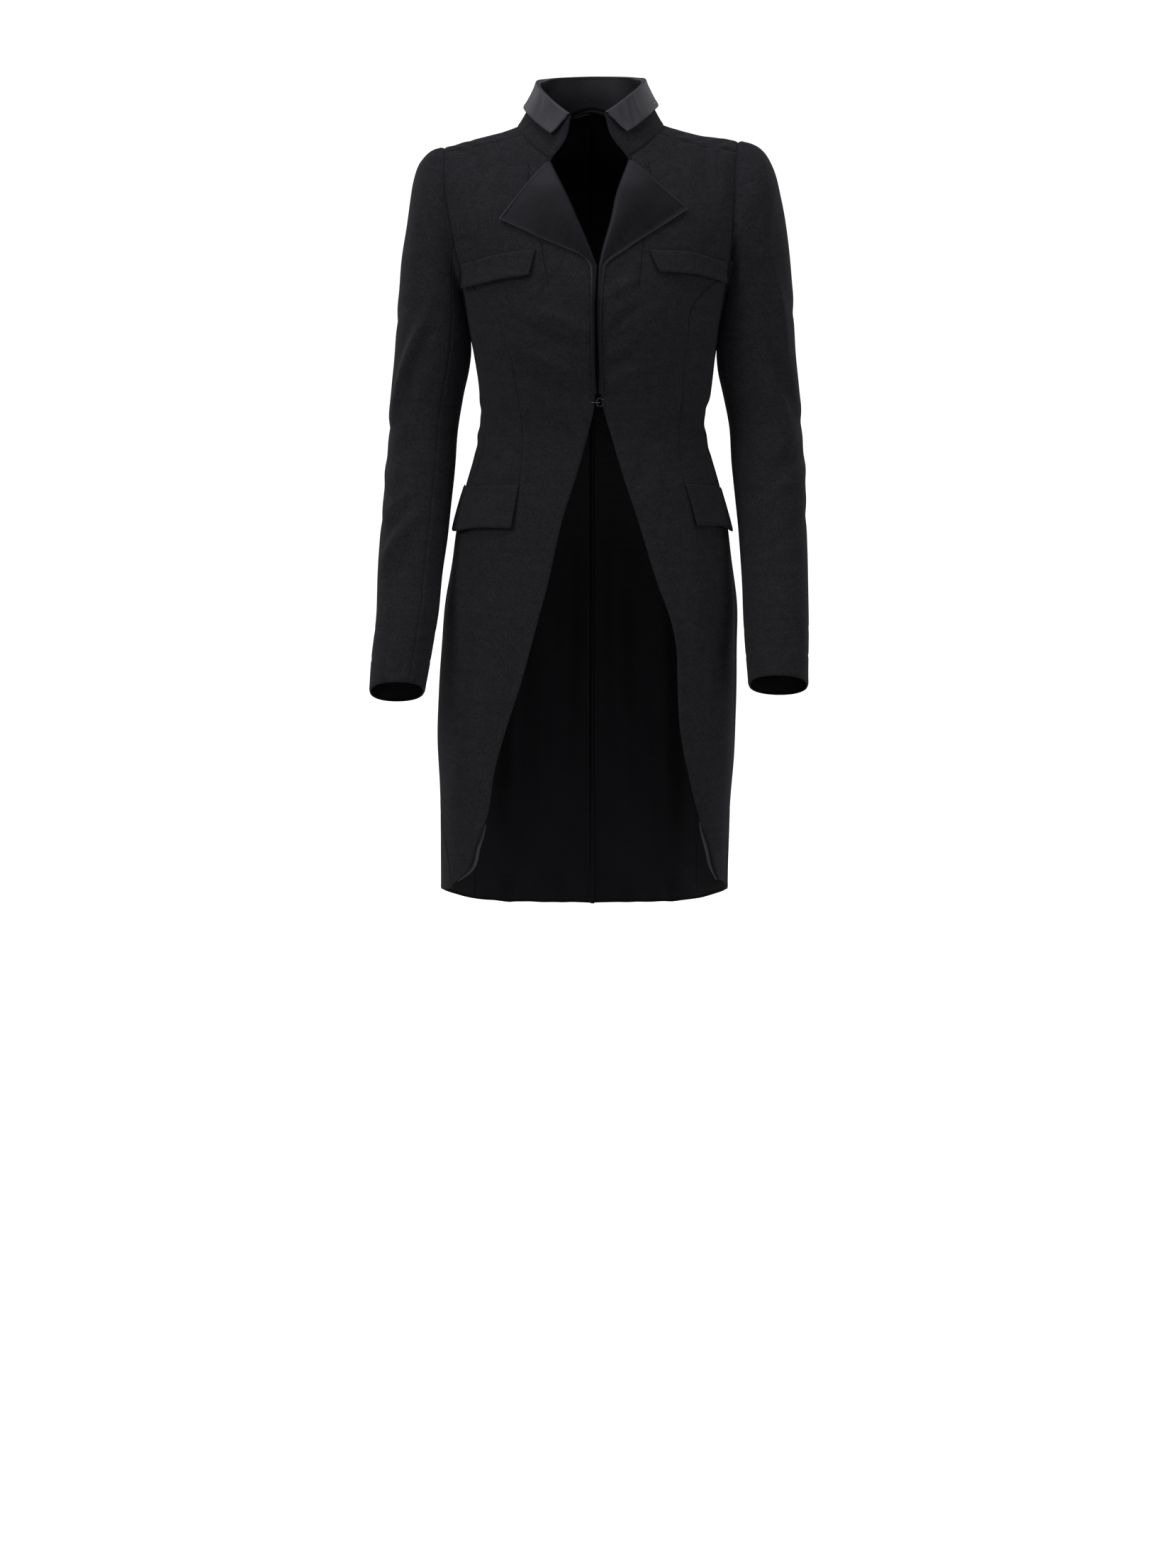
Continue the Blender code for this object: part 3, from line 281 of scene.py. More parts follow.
def formPoint(side, turn, drop):
    # turn goes round the body from the centre front, drop goes down the cloth from the shoulder
    # ridge: superellipse sections whose size is read by height, hung from the ridge by a quarter round
    angle = np.radians(turn)
    across = signedPower(np.sin(angle), 2 / roundness)
    deep = signedPower(np.cos(angle), 2 / roundness)
    size = np.abs(drop)
    roundPart = np.minimum(size, quarterDrop) / shoulderDepth
    fall = shoulderDepth * (1 - np.cos(roundPart)) + np.maximum(size - quarterDrop, 0)
    z = -fall
    for _ in range(3):
        x = read(bodyForm, side, z) * across
        z = ridgeHeight(side, x) - fall
    facing = -deep * np.sign(drop) * np.sin(roundPart)
    depth = np.where(facing < 0, read(bodyForm, "front", z), read(bodyForm, "back", z))
    return np.stack([side * x, facing * depth, z], -1)


def formNormal(side, turn, drop):
    roundIt = formPoint(side, turn + 0.4, drop) - formPoint(side, turn - 0.4, drop)
    down = formPoint(side, turn, drop + 0.0008) - formPoint(side, turn, drop - 0.0008)
    return unit(side * np.cross(down, roundIt))


def dropOfFall(fall):
    roundPart = np.arccos(1 - np.clip(fall, 0, shoulderDepth) / shoulderDepth)
    return np.where(fall < shoulderDepth, roundPart * shoulderDepth, quarterDrop + fall - shoulderDepth)


def placeAt(side, x, z, behind=False):
    # turn and drop of the front-view place (x, z), x measured outward from the centre
    x = np.asarray(x, float)
    drop = dropOfFall(ridgeHeight(side, x) - z)
    share = np.clip(x / read(bodyForm, side, z), -1, 1)
    turn = np.degrees(np.arcsin(signedPower(share, roundness / 2)))
    return (180 - turn if behind else turn), drop


def dropAt(side, turn, z):
    # drop of the height z on the line of this turn
    x = read(bodyForm, side, z) * np.abs(np.sin(np.radians(turn))) ** (2 / roundness)
    return dropOfFall(ridgeHeight(side, x) - z)


def armholeFront(side, a):
    return placeAt(side, read(armholeFrontLine, side, a), read(armholeFrontLine, "z", a))


def armholeBack(side, a):
    return placeAt(side, read(armholeBackLine, "x", a), read(armholeBackLine, "z", a), True)


def armholeUnder(side, a):
    turns = armholeUnderLine["turn"].copy()
    turns[0] = armholeFront(side, armholeFrontLine["a"][-1])[0]
    turns[-1] = armholeBack(side, armholeBackLine["a"][0])[0]
    turn = smoothCurve(armholeUnderLine["a"], turns, a)
    return turn, dropAt(side, turn, read(armholeUnderLine, "z", a))


def armholeTop(side, share):
    backTurn, backDrop = armholeBack(side, armholeBackLine["a"][-1])
    seamTurn, seamDrop = armholeFront(side, 0.0)
    ridgeTurn = 180 - placeAt(side, ridgeTipX, ridgeHeight(side, ridgeTipX))[0]
    turn = smoothCurve(np.array([0, 0.5, 1]), np.array([backTurn, ridgeTurn, 180 - seamTurn]), share)
    return turn, backDrop + (-seamDrop - backDrop) * share


def neckPlace(side, n, behind):
    x, size = read(neckSeam[side], "x", n), np.abs(read(neckSeam[side], "drop", n))
    turn = np.degrees(np.arcsin(np.minimum(x / bodyForm[sideNames[side]][1], 1) ** (roundness / 2)))
    past = np.asarray(n, float) > ridgeAt
    return (180 - turn, np.where(past, size, -size)) if behind else (turn, np.where(past, -size, size))


# Folds and creases.
# broad folds that the solids have too: both ends in front view, half width, height
bodyFolds = bothSides("""
-920 -2540 -80 -2880 130 -22
-940 -2360 -300 -2620 140 16
-460 -1700 -60 -1960 140 -20
-1180 -3300 -850 -3660 100 -20
""", """
120 -2060 550 -1760 130 -24
120 -2460 600 -2060 130 -18
1280 -3300 1020 -3660 100 -20
""")
sleeveFolds = bothSides("""
-2360 -3300 -1960 -2220 100 32
-2470 -4900 -2060 -4380 100 30
-2520 -4320 -2220 -4240 100 -30
""", """
1960 -1550 2140 -2620 110 -28
2140 -2620 2460 -3340 100 -34
1900 -4200 2460 -3720 110 -24
""")
# where the side lies against the sleeve, in side view
underArm = bothSides("-500 -2180 400 -2180 290 32", "-500 -2220 400 -2220 290 26")
# finer creases: both ends, bow in the middle, half width, height; below zero is a trough.
# front and back creases are placed in front view (x, z), side creases in side view (y, z).
frontCreases = bothSides("""
-860 -2710 -140 -3010 40 65 -21
-800 -2460 -200 -2680 30 60 14
-700 -2140 -120 -2360 -30 75 -19
-620 -1960 -100 -2140 20 60 12
-1220 -3060 -920 -3260 30 60 -6
-1220 -3220 -860 -3500 40 60 5
-1220 -3460 -820 -3740 40 65 -6
-1260 -3660 -960 -3880 30 60 -4
-1480 -1120 -1180 -1580 40 70 -9
-1570 -960 -1420 -1500 30 50 7
-1260 -220 -1360 -860 30 80 -13
-1480 -260 -1460 -800 -30 70 10
-1000 -180 -1120 -700 20 80 11
-580 -3520 -400 -4200 40 100 -10
-960 -4700 -1180 -6900 60 150 13
-1280 -4800 -1440 -8000 -50 130 -14
-800 -5400 -1060 -7000 40 90 -8
-1520 -5000 -1640 -8200 40 120 10
-1180 -6600 -1400 -8200 30 80 -8
""", """
140 -2260 660 -1860 30 70 -21
140 -2620 600 -2300 -30 65 -18
160 -2840 620 -2620 30 70 13
180 -1800 560 -1580 30 70 13
160 -3220 460 -3460 -30 60 -8
1300 -3060 1060 -3300 30 60 -6
1300 -3220 1040 -3520 -30 60 5
1300 -3500 980 -3820 -40 65 -6
1320 -3720 1080 -3920 -30 60 -4
1520 -1040 1240 -1520 -40 70 -9
1600 -880 1480 -1440 -30 50 7
1300 -180 1380 -840 30 80 -13
1520 -220 1480 -780 30 70 10
1060 -160 1160 -660 20 80 11
620 -3500 500 -4100 40 100 -9
1180 -4700 1280 -6400 50 140 12
1400 -4800 1480 -7800 -50 120 -14
1060 -5600 1180 -7000 40 80 -8
1580 -5200 1560 -8300 30 110 9
""")
backCreases = bothSides("""
-160 -2960 -860 -3220 40 80 -14
-100 -3260 -960 -3400 -40 70 -12
-200 -3520 -900 -3720 50 80 11
-520 -1000 -1400 -1520 60 110 -14
-860 -1500 -1400 -2050 50 90 -12
-300 -300 -900 -600 -40 100 8
-300 -4600 -460 -8400 80 160 -22
-760 -4500 -920 -9000 -70 170 20
-1120 -4800 -1220 -8600 60 130 -18
-600 -6200 -660 -9300 40 100 -10
-1260 -9050 -1160 -9750 30 80 16
-1020 -9150 -980 -9800 -20 70 -17
-740 -9000 -800 -9820 30 90 14
-380 -9200 -340 -9850 20 70 -10
""", """
140 -2920 900 -3160 40 80 -14
120 -3300 920 -3460 -40 70 -12
220 -3560 960 -3720 50 80 11
560 -960 1420 -1460 60 110 -14
900 -1580 1420 -2100 50 90 -12
360 -280 940 -560 -40 100 8
340 -4500 500 -8600 -80 160 -22
800 -4600 900 -9000 70 170 20
1160 -5000 1200 -8800 -60 130 -18
620 -6600 700 -9300 40 100 -10
1280 -9100 1200 -9750 30 80 16
1080 -9050 1000 -9780 -20 70 -17
800 -9150 860 -9800 30 80 14
440 -9250 400 -9850 20 70 -10
""")
sideCreases = bothSides("""
-400 -3220 500 -3340 40 60 -6
-300 -3460 460 -3520 -30 60 5
-360 -3620 520 -3760 40 65 -5
-200 -2150 500 -2580 50 90 -12
-100 -4800 -40 -8200 70 150 -18
450 -4700 580 -8800 -70 170 20
""", """
-360 -3180 480 -3300 40 60 -6
-300 -3440 500 -3520 -30 60 5
-400 -3660 500 -3780 40 65 -5
-240 -2180 460 -2560 50 90 -12
-120 -4900 -20 -8200 -70 150 -18
480 -4800 560 -8800 70 170 20
""")
creaseGain = 1.7         # all the finer creases are made this much deeper together
# both ends of the sewn darts and of the short seams above the lapels, in front view
frontDarts = bothSides("""
-580 -1165 -486 -1676
-720 -330 -722 -560
""", """
600 -1180 540 -1680
660 -310 690 -540
""")
dartForm = {"width": 0.0034, "depth": 0.0006}


def foldHeight(folds, x, z):
    # each fold is a bell across a straight run with round ends
    total = np.zeros(np.broadcast(x, z).shape)
    for x0, z0, x1, z1, width, height in folds:
        runX, runZ = x1 - x0, z1 - z0
        held = np.clip(((x - x0) * runX + (z - z0) * runZ) / (runX**2 + runZ**2), 0, 1)
        total += height * bell(np.hypot(x - x0 - held * runX, z - z0 - held * runZ), width)
    return total


def creaseHeight(creases, a, b):
    # each crease bows between its ends, thins out towards them, and has a low roll on one side
    total = np.zeros(a.shape)
    for a0, b0, a1, b1, bow, width, height in creases:
        runA, runB = a1 - a0, b1 - b0
        length = math.hypot(runA, runB)
        along = ((a - a0) * runA + (b - b0) * runB) / length**2
        held = np.clip(along, 0, 1)
        across = ((b - b0) * runA - (a - a0) * runB) / length - bow * 4 * held * (1 - held)
        taper = np.sin(np.pi * (0.06 + 0.88 * held)) ** 0.8 * bell((along - held) * length, width * 1.5)
        total += height * taper * (bell(across, width) - 0.45 * bell(across - 1.8 * width, 1.3 * width))
    return total * creaseGain


def clothWaves(point):
    # slow uneven rise and fall of hung cloth, from a few sines along slanted directions
    x, y, z = np.moveaxis(point, -1, 0)
    return (0.00030 * np.sin(41 * x + 23 * z + 1.3) * np.sin(17 * z - 9 * y + 0.4)
            + 0.00022 * np.sin(67 * y - 31 * z + 2.1) + 0.00016 * np.sin(93 * x + 71 * z + 0.6))


def reliefAt(side, point, normal, darts):
    x, y, z = np.moveaxis(point, -1, 0)
    front, behind = np.clip(-normal[..., 1] * 2, 0, 1), np.clip(normal[..., 1] * 2, 0, 1)
    beside = np.clip(np.abs(normal[..., 0]) * 2 - 0.6, 0, 1)
    relief = (np.where(normal[..., 1] < 0, foldHeight(bodyFolds[side], x, z), 0)
              + front * creaseHeight(frontCreases[side], x, z)
              + behind * creaseHeight(backCreases[side], x, z)
              + beside * creaseHeight(sideCreases[side], y, z) + clothWaves(point)
              + beside * foldHeight(underArm[side], y, z))
    for dart in frontDarts[side] if darts else ():
        relief = relief + front * foldHeight([(*dart, dartForm["width"], -dartForm["depth"])], x, z)
    return relief


def clothSurface(side, turn, drop, lift=0.0, darts=True):
    turn, drop = np.broadcast_arrays(np.asarray(turn, float), np.asarray(drop, float))
    point, normal = formPoint(side, turn, drop), formNormal(side, turn, drop)
    return point + normal * (reliefAt(side, point, normal, darts) + lift)[..., None], normal


# Grids of cloth.
seamForm = {"depth": 0.0008, "width": 0.0012, "swell": 0.00018, "swellAt": 0.0045, "swellWidth": 0.0025}
fineSteps = np.array([0.0008, 0.0018, 0.0032, 0.0052])    # distances of the fine rows from an edge
cellSize = 0.0031


def spreadRows(gaps, cell=cellSize):
    # row numbers: each coarse gap is split into steps of about a cell, with fine steps at both ends
    steps = np.maximum(np.ceil(gaps / cell).astype(int), 1)
    rows = np.concatenate([i + np.arange(n) / n for i, n in enumerate(steps)])
    last = len(gaps)
    low, high = fineSteps / gaps[0], last - fineSteps[::-1] / gaps[-1]
    inside = rows[(rows > low[-1] * 1.1) & (rows < high[0] - low[-1] * 0.1)]
    return np.concatenate([[0], low, inside, high, [last]])


def spanOf(side, start, end):
    return np.linalg.norm(formPoint(side, *start) - formPoint(side, *end), axis=-1)


def spreadColumns(side, start, end):
    # shares across each row: fine steps beside both edges, even steps between them
    width = np.maximum(spanOf(side, start, end), 0.002)
    count = max(int(np.ceil(width.max() / cellSize)), 5)
    squeeze = np.minimum(1, width / 0.018)[:, None]
    near = np.concatenate([[0], fineSteps])[None, :] * squeeze / width[:, None]
    even = np.linspace(0, 1, count + 1)[None, 1:-1]
    middle = near[:, -1:] + (1 - 2 * near[:, -1:]) * even
    return np.concatenate([near, middle, 1 - near[:, ::-1]], 1)


def between(start, end, share):
    # turn and drop of a grid of places, a share of the way from one chain of places to the other
    return [first[:, None] * (1 - share) + last[:, None] * share for first, last in zip(start, end)]


def chainOf(rows, *stretches):
    # one row of places: each stretch of row numbers has its own place function
    turn, drop = np.empty(len(rows)), np.empty(len(rows))
    for start, end, places in stretches:
        inside = (rows >= start) & (rows <= end)
        turn[inside], drop[inside] = places(rows[inside])
    return turn, drop


def rowHeights(values, rows, first=0):
    return smoothCurve(np.arange(len(values)) + first, values, rows)


def panelGrid(side, startChain, endChain, lastRow):
    # straight runs in turn and drop from one chain to the other
    whole = np.arange(lastRow + 1.0)
    ends = [formPoint(side, *chain(whole)) for chain in (startChain, endChain)]
    gaps = np.maximum(*[np.linalg.norm(np.diff(points, axis=0), axis=-1) for points in ends])
    rows = spreadRows(np.maximum(gaps, 1e-4))
    start, end = startChain(rows), endChain(rows)
    share = spreadColumns(side, start, end)
    return rows, share, *between(start, end, share)


def arcs(points, axis):
    step = np.linalg.norm(np.diff(points, axis=axis), axis=-1)
    zero = np.zeros_like(np.take(points[..., 0], [0], axis=axis))
    return np.concatenate([zero, np.cumsum(step, axis=axis)], axis=axis)


def edgeDistances(points):
    # distance over the cloth from the first column, last column, first row and last row
    across, down = arcs(points, 1), arcs(points, 0)
    return across, across[:, -1:] - across, down, down[-1:] - down


def fromEdges(points):
    return np.minimum.reduce(edgeDistances(points))


def edgeDip(distance, form=seamForm):
    # cloth turns down into its seam or edge, with a low swell of turned-in cloth beside it
    return (form["swell"] * bell(distance - form["swellAt"], form["swellWidth"])
            - form["depth"] * bell(distance, form["width"]))


def gridNormals(points):
    normal = np.cross(np.gradient(points, axis=1), np.gradient(points, axis=0))
    return normal / np.maximum(np.linalg.norm(normal, axis=-1, keepdims=True), 1e-12)


# Meshes and pieces.
def sided(word, side):
    return word + sideNames[side].title()


def newObject(name, data):
    made = bpy.data.objects.new(name, data)
    bpy.context.collection.objects.link(made)
    return made


def gridMesh(name, points, outward, kept=None, paintedHighlight=None):
    # quads over a grid of points, turned so that they face along outward, with a map in metres
    rows, columns = points.shape[:2]
    index = np.arange(rows * columns).reshape(rows, columns)
    quads = np.stack([index[:-1, :-1], index[:-1, 1:], index[1:, 1:], index[1:, :-1]], -1)
    quads = quads[kept] if kept is not None else quads.reshape(-1, 4)
    flat = points.reshape(-1, 3)
    crossed = np.cross(flat[quads[:, 2]] - flat[quads[:, 0]], flat[quads[:, 3]] - flat[quads[:, 1]])
    if np.sum(crossed * outward.reshape(-1, 3)[quads[:, 0]]) < 0:
        quads = quads[:, ::-1]
    mapping = np.stack([arcs(points, 1), arcs(points, 0)], -1).reshape(-1, 2)
    used, packed = np.unique(quads, return_inverse=True)
    packed = packed.ravel()
    mesh = bpy.data.meshes.new(name)
    mesh.vertices.add(len(used))
    mesh.vertices.foreach_set("co", flat[used].ravel())
    mesh.loops.add(len(packed))
    mesh.loops.foreach_set("vertex_index", packed.astype(np.int32))
    mesh.polygons.add(len(quads))
    mesh.polygons.foreach_set("loop_start", np.arange(0, len(packed), 4, dtype=np.int32))
    mesh.update(calc_edges=True)
    mesh.uv_layers.new(name="clothMap").data.foreach_set("uv", mapping[used][packed].ravel())
    # the optional mask of the painted highlight on turned satin edges is kept as a point attribute
    if paintedHighlight is not None:
        mesh.attributes.new("paintedHighlight", "FLOAT", "POINT").data.foreach_set("value", paintedHighlight.ravel()[used])
    mesh.validate()
    mesh.shade_smooth()
    area = np.linalg.norm(crossed, axis=-1).sum() / 2
    return newObject(name, mesh), area, mapping[used].max(axis=0)


def finishPiece(made, node, looks):
    for look in looks:
        made.data.materials.append(look)
    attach(made, "root")
    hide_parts(node)


def clothPiece(name, node, side, points, outward, looks=None, slotName="wool", thick=0.0017,
               held="draped", restsOn=(), kept=None, paintedHighlight=None):
    # a thin shell under the outer face; the size it is cut to is printed
    if side:
        name, node = sided(name, side), node + "_" + sideNames[side]
    made, area, (cutWidth, cutLength) = gridMesh(name, points, outward, kept, paintedHighlight)
    wall = made.modifiers.new("wall", "SOLIDIFY")
    wall.thickness, wall.offset, wall.material_offset = thick, -1, 1
    finishPiece(made, node, looks or (wool, lining))
    cutWidth, cutLength = round(float(cutWidth), 4), round(float(cutLength), 4)
    print(f"{name}: cut {cutWidth:.3f} x {cutLength:.3f} m, {area:.4f} m2, {len(made.data.polygons)} faces")
    return made


# Materials.
def setInputs(tree, node, **inputs):
    # sockets are linked and other values set; an underscore is a space, and _0 is the first input
    for key, value in inputs.items():
        socket = node.inputs[int(key[1:])] if key[0] == "_" else node.inputs[key.replace("_", " ")]
        if isinstance(value, bpy.types.NodeSocket):
            tree.links.new(value, socket)
        else:
            socket.default_value = value
    return node


def addNode(tree, kind, settings=None, **inputs):
    node = tree.nodes.new("ShaderNode" + kind)
    for key, value in (settings or {}).items():
        setattr(node, key, value)
    return setInputs(tree, node, **inputs)


def calc(tree, operation, *values, kind="Math", clamp=False, **inputs):
    settings = {"operation": operation, "use_clamp": True} if clamp else {"operation": operation}
    node = addNode(tree, kind, settings, **{f"_{i}": value for i, value in enumerate(values)}, **inputs)
    return node.outputs["Value" if operation in ("DOT_PRODUCT", "DISTANCE") else 0]


def noise(tree, place, scale, detail, rough):
    return addNode(tree, "TexNoise", Vector=place, Scale=scale, Detail=detail, Roughness=rough).outputs[0]


def stretched(tree, place, scale):
    return addNode(tree, "Mapping", Vector=place, Scale=scale).outputs[0]


def valueRange(tree, value, low, high, fromLow=0.0, fromHigh=1.0):
    return addNode(tree, "MapRange", _0=value, _1=fromLow, _2=fromHigh, _3=low, _4=high).outputs[0]


def colourMix(tree, share, dark, light):
    dark, light = [(*colour, 1) if isinstance(colour, tuple) else colour for colour in (dark, light)]
    return addNode(tree, "Mix", {"data_type": "RGBA"}, _0=share, _6=dark, _7=light).outputs[2]


def newGroup(name, inputs, outputs):
    # inputs with their values, where none stands for a vector; the outputs are all numbers
    tree = bpy.data.node_groups.new(name, "ShaderNodeTree")
    for socketName, value in inputs.items():
        kind = "NodeSocketVector" if value is None else "NodeSocketFloat"
        socket = tree.interface.new_socket(socketName, in_out="INPUT", socket_type=kind)
        if value is not None:
            socket.default_value = value
    for socketName in outputs:
        tree.interface.new_socket(socketName, in_out="OUTPUT", socket_type="NodeSocketFloat")
    return tree, tree.nodes.new("NodeGroupInput").outputs, tree.nodes.new("NodeGroupOutput")


def groupNode(tree, group, **inputs):
    return addNode(tree, "Group", {"node_tree": group}, **inputs).outputs


def makeCrepeGroup():
    # pebbled crepe: two sizes of irregular grain, over it a mottle of the dye, faint bands along the
    # weft and speckles of single threads
    tree, given, result = newGroup("woolCrepe", {"Place": None, "Grain": 1100.0, "Mottle": 38.0},
                                   ("Height", "Grain", "Mottle"))
    place = given["Place"]
    fine = noise(tree, place, given["Grain"], 2.0, 0.6)
    pebble = addNode(tree, "TexVoronoi", {"feature": "SMOOTH_F1"}, Vector=place,
                     Scale=calc(tree, "MULTIPLY", given["Grain"], 0.31)).outputs["Distance"]
    height = calc(tree, "SUBTRACT", fine, calc(tree, "MULTIPLY", pebble, 0.8))
    bands = noise(tree, stretched(tree, place, (5.0, 5.0, 210.0)), 1.0, 3.0, 0.6)
    slow = calc(tree, "MULTIPLY_ADD", noise(tree, place, given["Mottle"], 4.0, 0.55), 0.22,
                calc(tree, "MULTIPLY", bands, 0.13))
    mean = calc(tree, "MULTIPLY_ADD", noise(tree, place, 460.0, 2.0, 0.7), 0.65, slow)
    setInputs(tree, result, Height=height, Grain=fine, Mottle=mean)
    return tree


def makeSatinGroup():
    # satin: long floating threads along the cloth, and slow cloudy streaks
    tree, given, result = newGroup("satinThreads", {"Map": None, "Thread": 2600.0}, ("Height", "Streak"))
    threads = noise(tree, stretched(tree, given["Map"], (0.035, 1.0, 1.0)), given["Thread"], 2.0, 0.5)
    streak = noise(tree, stretched(tree, given["Map"], (26.0, 150.0, 1.0)), 1.0, 4.0, 0.6)
    setInputs(tree, result, Height=threads, Streak=streak)
    return tree


def makeLineGroup():
    # mask of a thin straight line, from the distance in front view to the nearest place on it
    tree, given, result = newGroup("sewnLine", {"Place": None, "From": None, "Run": None, "Width": 0.0005},
                                   ("Mask",))
    run = given["Run"]
    flat = calc(tree, "MULTIPLY", given["Place"], (1.0, 0.0, 1.0), kind="VectorMath")
    offset = calc(tree, "SUBTRACT", flat, given["From"], kind="VectorMath")
    along = calc(tree, "DIVIDE", calc(tree, "DOT_PRODUCT", offset, run, kind="VectorMath"),
                 calc(tree, "DOT_PRODUCT", run, run, kind="VectorMath"), clamp=True)
    nearest = calc(tree, "SCALE", run, kind="VectorMath", Scale=along)
    away = calc(tree, "DISTANCE", offset, nearest, kind="VectorMath")
    mask = addNode(tree, "MapRange", {"interpolation_type": "SMOOTHSTEP"},
                   _0=calc(tree, "DIVIDE", away, given["Width"]), _1=0.0, _2=2.0, _3=1.0, _4=0.0)
    setInputs(tree, result, Mask=mask.outputs[0])
    return tree


crepeGroup, satinGroup, lineGroup = makeCrepeGroup(), makeSatinGroup(), makeLineGroup()


def newMaterial(name):
    made = bpy.data.materials.new(name)
    made.use_nodes = True
    return made, made.node_tree, made.node_tree.nodes["Principled BSDF"]


def bumped(tree, look, height):
    return addNode(tree, "Bump", Height=height, Strength=look["bump"], Distance=look["bumpDepth"]).outputs[0]


def makeWool(name, look, lines=()):
    made, tree, shader = newMaterial(name)
    place = addNode(tree, "TexCoord").outputs["Object"]
    crepe = groupNode(tree, crepeGroup, Place=place, Grain=look["grain"], Mottle=look["mottle"])
    tone = valueRange(tree, crepe["Mottle"], 0.0, 1.0, 0.36, 0.64)
    colour, height = colourMix(tree, tone, look["dark"], look["light"]), crepe["Height"]
    for x0, z0, x1, z1 in lines:
        sewn = groupNode(tree, lineGroup, Place=place, From=(x0, 0, z0), Run=(x1 - x0, 0, z1 - z0),
                         Width=look["seamWidth"])["Mask"]
        darker = valueRange(tree, sewn, 1.0, 1.0 - look["seamShade"])
        colour = calc(tree, "SCALE", colour, kind="VectorMath", Scale=darker)
        height = calc(tree, "MULTIPLY_ADD", sewn, -3.0, height)
    setInputs(tree, shader, Base_Color=colour, Normal=bumped(tree, look, height),
              Roughness=valueRange(tree, crepe["Grain"], look["roughLow"], look["roughHigh"]),
              Specular_IOR_Level=look["specular"], Sheen_Weight=look["sheen"], Sheen_Roughness=0.45,
              Sheen_Tint=(0.85, 0.84, 0.9, 1))
    return made


def makeSatin(name, look):
    made, tree, shader = newMaterial(name)
    satin = groupNode(tree, satinGroup, Map=addNode(tree, "TexCoord").outputs["UV"], Thread=look["thread"])
    # this attribute is 1 on a turned edge, where the satin colour is lightened: a painted highlight for the
    # light that the rounded edge catches
    paintedHighlight = addNode(tree, "Attribute", {"attribute_name": "paintedHighlight"}).outputs["Fac"]
    colour = colourMix(tree, paintedHighlight, colourMix(tree, satin["Streak"], look["dark"], look["light"]), look["paintedHighlight"])
    rough = valueRange(tree, satin["Streak"], look["roughLow"], look["roughHigh"], 0.3, 0.7)
    setInputs(tree, shader, Base_Color=colour, Roughness=rough, Normal=bumped(tree, look, satin["Height"]),
              Specular_IOR_Level=look["specular"], Specular_Tint=(0.93, 0.88, 1.0, 1.0))
    return made


def makeMetal(name):
    # blackened wire, rubbed brighter in places
    made, tree, shader = newMaterial(name)
    rub = noise(tree, addNode(tree, "TexCoord").outputs["Object"], 420.0, 3.0, 0.6)
    colour = colourMix(tree, valueRange(tree, rub, 0, 1, 0.4, 0.7), (0.030, 0.030, 0.034), (0.20, 0.20, 0.21))
    setInputs(tree, shader, Base_Color=colour, Roughness=valueRange(tree, rub, 0.42, 0.24), Metallic=1.0)
    return made


woolLook = {"dark": (0.0080, 0.0074, 0.0090), "light": (0.0176, 0.0165, 0.0198), "grain": 1100.0,
            "mottle": 90.0, "roughLow": 0.80, "roughHigh": 0.95, "bump": 0.55, "bumpDepth": 0.0005,
            "specular": 0.05, "sheen": 0.03, "seamWidth": 0.00045, "seamShade": 0.55}
# the edge colour below is a painted highlight that lightens the turned lapel edges
satinLook = {"thread": 2600.0, "roughLow": 0.46, "roughHigh": 0.60, "bump": 0.35, "bumpDepth": 0.0003,
             "paintedHighlight": (0.048, 0.046, 0.054)}
wool = makeWool("woolCrepeBlack", woolLook)
frontWool = {side: makeWool(sided("woolCrepeFront", side), woolLook, frontDarts[side]) for side in sideNames}
standWool = makeWool("woolCrepeStand", woolLook, [(-0.0781, 0.0037, -0.0642, 0.0179)])
lapelSatin = makeSatin("lapelSatin", {**satinLook, "dark": (0.0020, 0.0019, 0.0025), "specular": 0.11,
                                      "light": (0.0066, 0.0062, 0.0080), "roughLow": 0.40, "roughHigh": 0.52})
collarSatin = makeSatin("collarSatin", {**satinLook, "dark": (0.024, 0.0232, 0.0275), "specular": 0.20,
                                        "light": (0.033, 0.0318, 0.0372), "roughLow": 0.48, "bump": 0.4})
# a darker copy of the collar satin: painted shade for the inside of the stand, where a neck would shade it
collarInsidePaintedShade = makeSatin("collarInsidePaintedShade", {**satinLook, "dark": (0.0052, 0.0050, 0.0062),
                                          "light": (0.0085, 0.0082, 0.0098), "specular": 0.10})
lining = makeSatin("tailLining", {**satinLook, "dark": (0.0034, 0.0033, 0.0040), "specular": 0.08,
                                  "light": (0.0058, 0.0056, 0.0066), "thread": 2000.0, "bump": 0.3})
metal = makeMetal("blackenedWire")
print("materials made")


# Fronts, sides and backs.
shoulderPuckers = {"wave": 0.0235, "height": 0.00120, "reachBack": 0.022, "reachFront": 0.009, "slant": 1.3}
edgeRoom = 0.0026        # the wool stops this far inside the satin that is folded round it


def edgePlaces(side, z):
    room = edgeRoom * np.clip((z - hookZ) / 0.03, 0, 1)
    return placeAt(side, side * read(frontEdge, side, z) + room, z)


def rollPlaces(side, r):
    return placeAt(side, side * read(rollLine[side], "x", r) + edgeRoom, read(rollLine[side], "z", r))


def sideSeamPlaces(side, z):
    turn = read(sideSeam, side, z)
    return turn, dropAt(side, turn, z)


def frontSeamPlaces(side, z):
    return placeAt(side, read(frontSeam, side, z), z)


def backSeamPlaces(side, z):
    topTurn = armholeBack(side, armholeBackLine["a"][0])[0]
    rise = np.clip((z - waistZ) / (backNotchZ - waistZ), 0, 1)
    turn = backSeamTurn + (topTurn - backSeamTurn) * rise**2
    return turn, dropAt(side, turn, z)


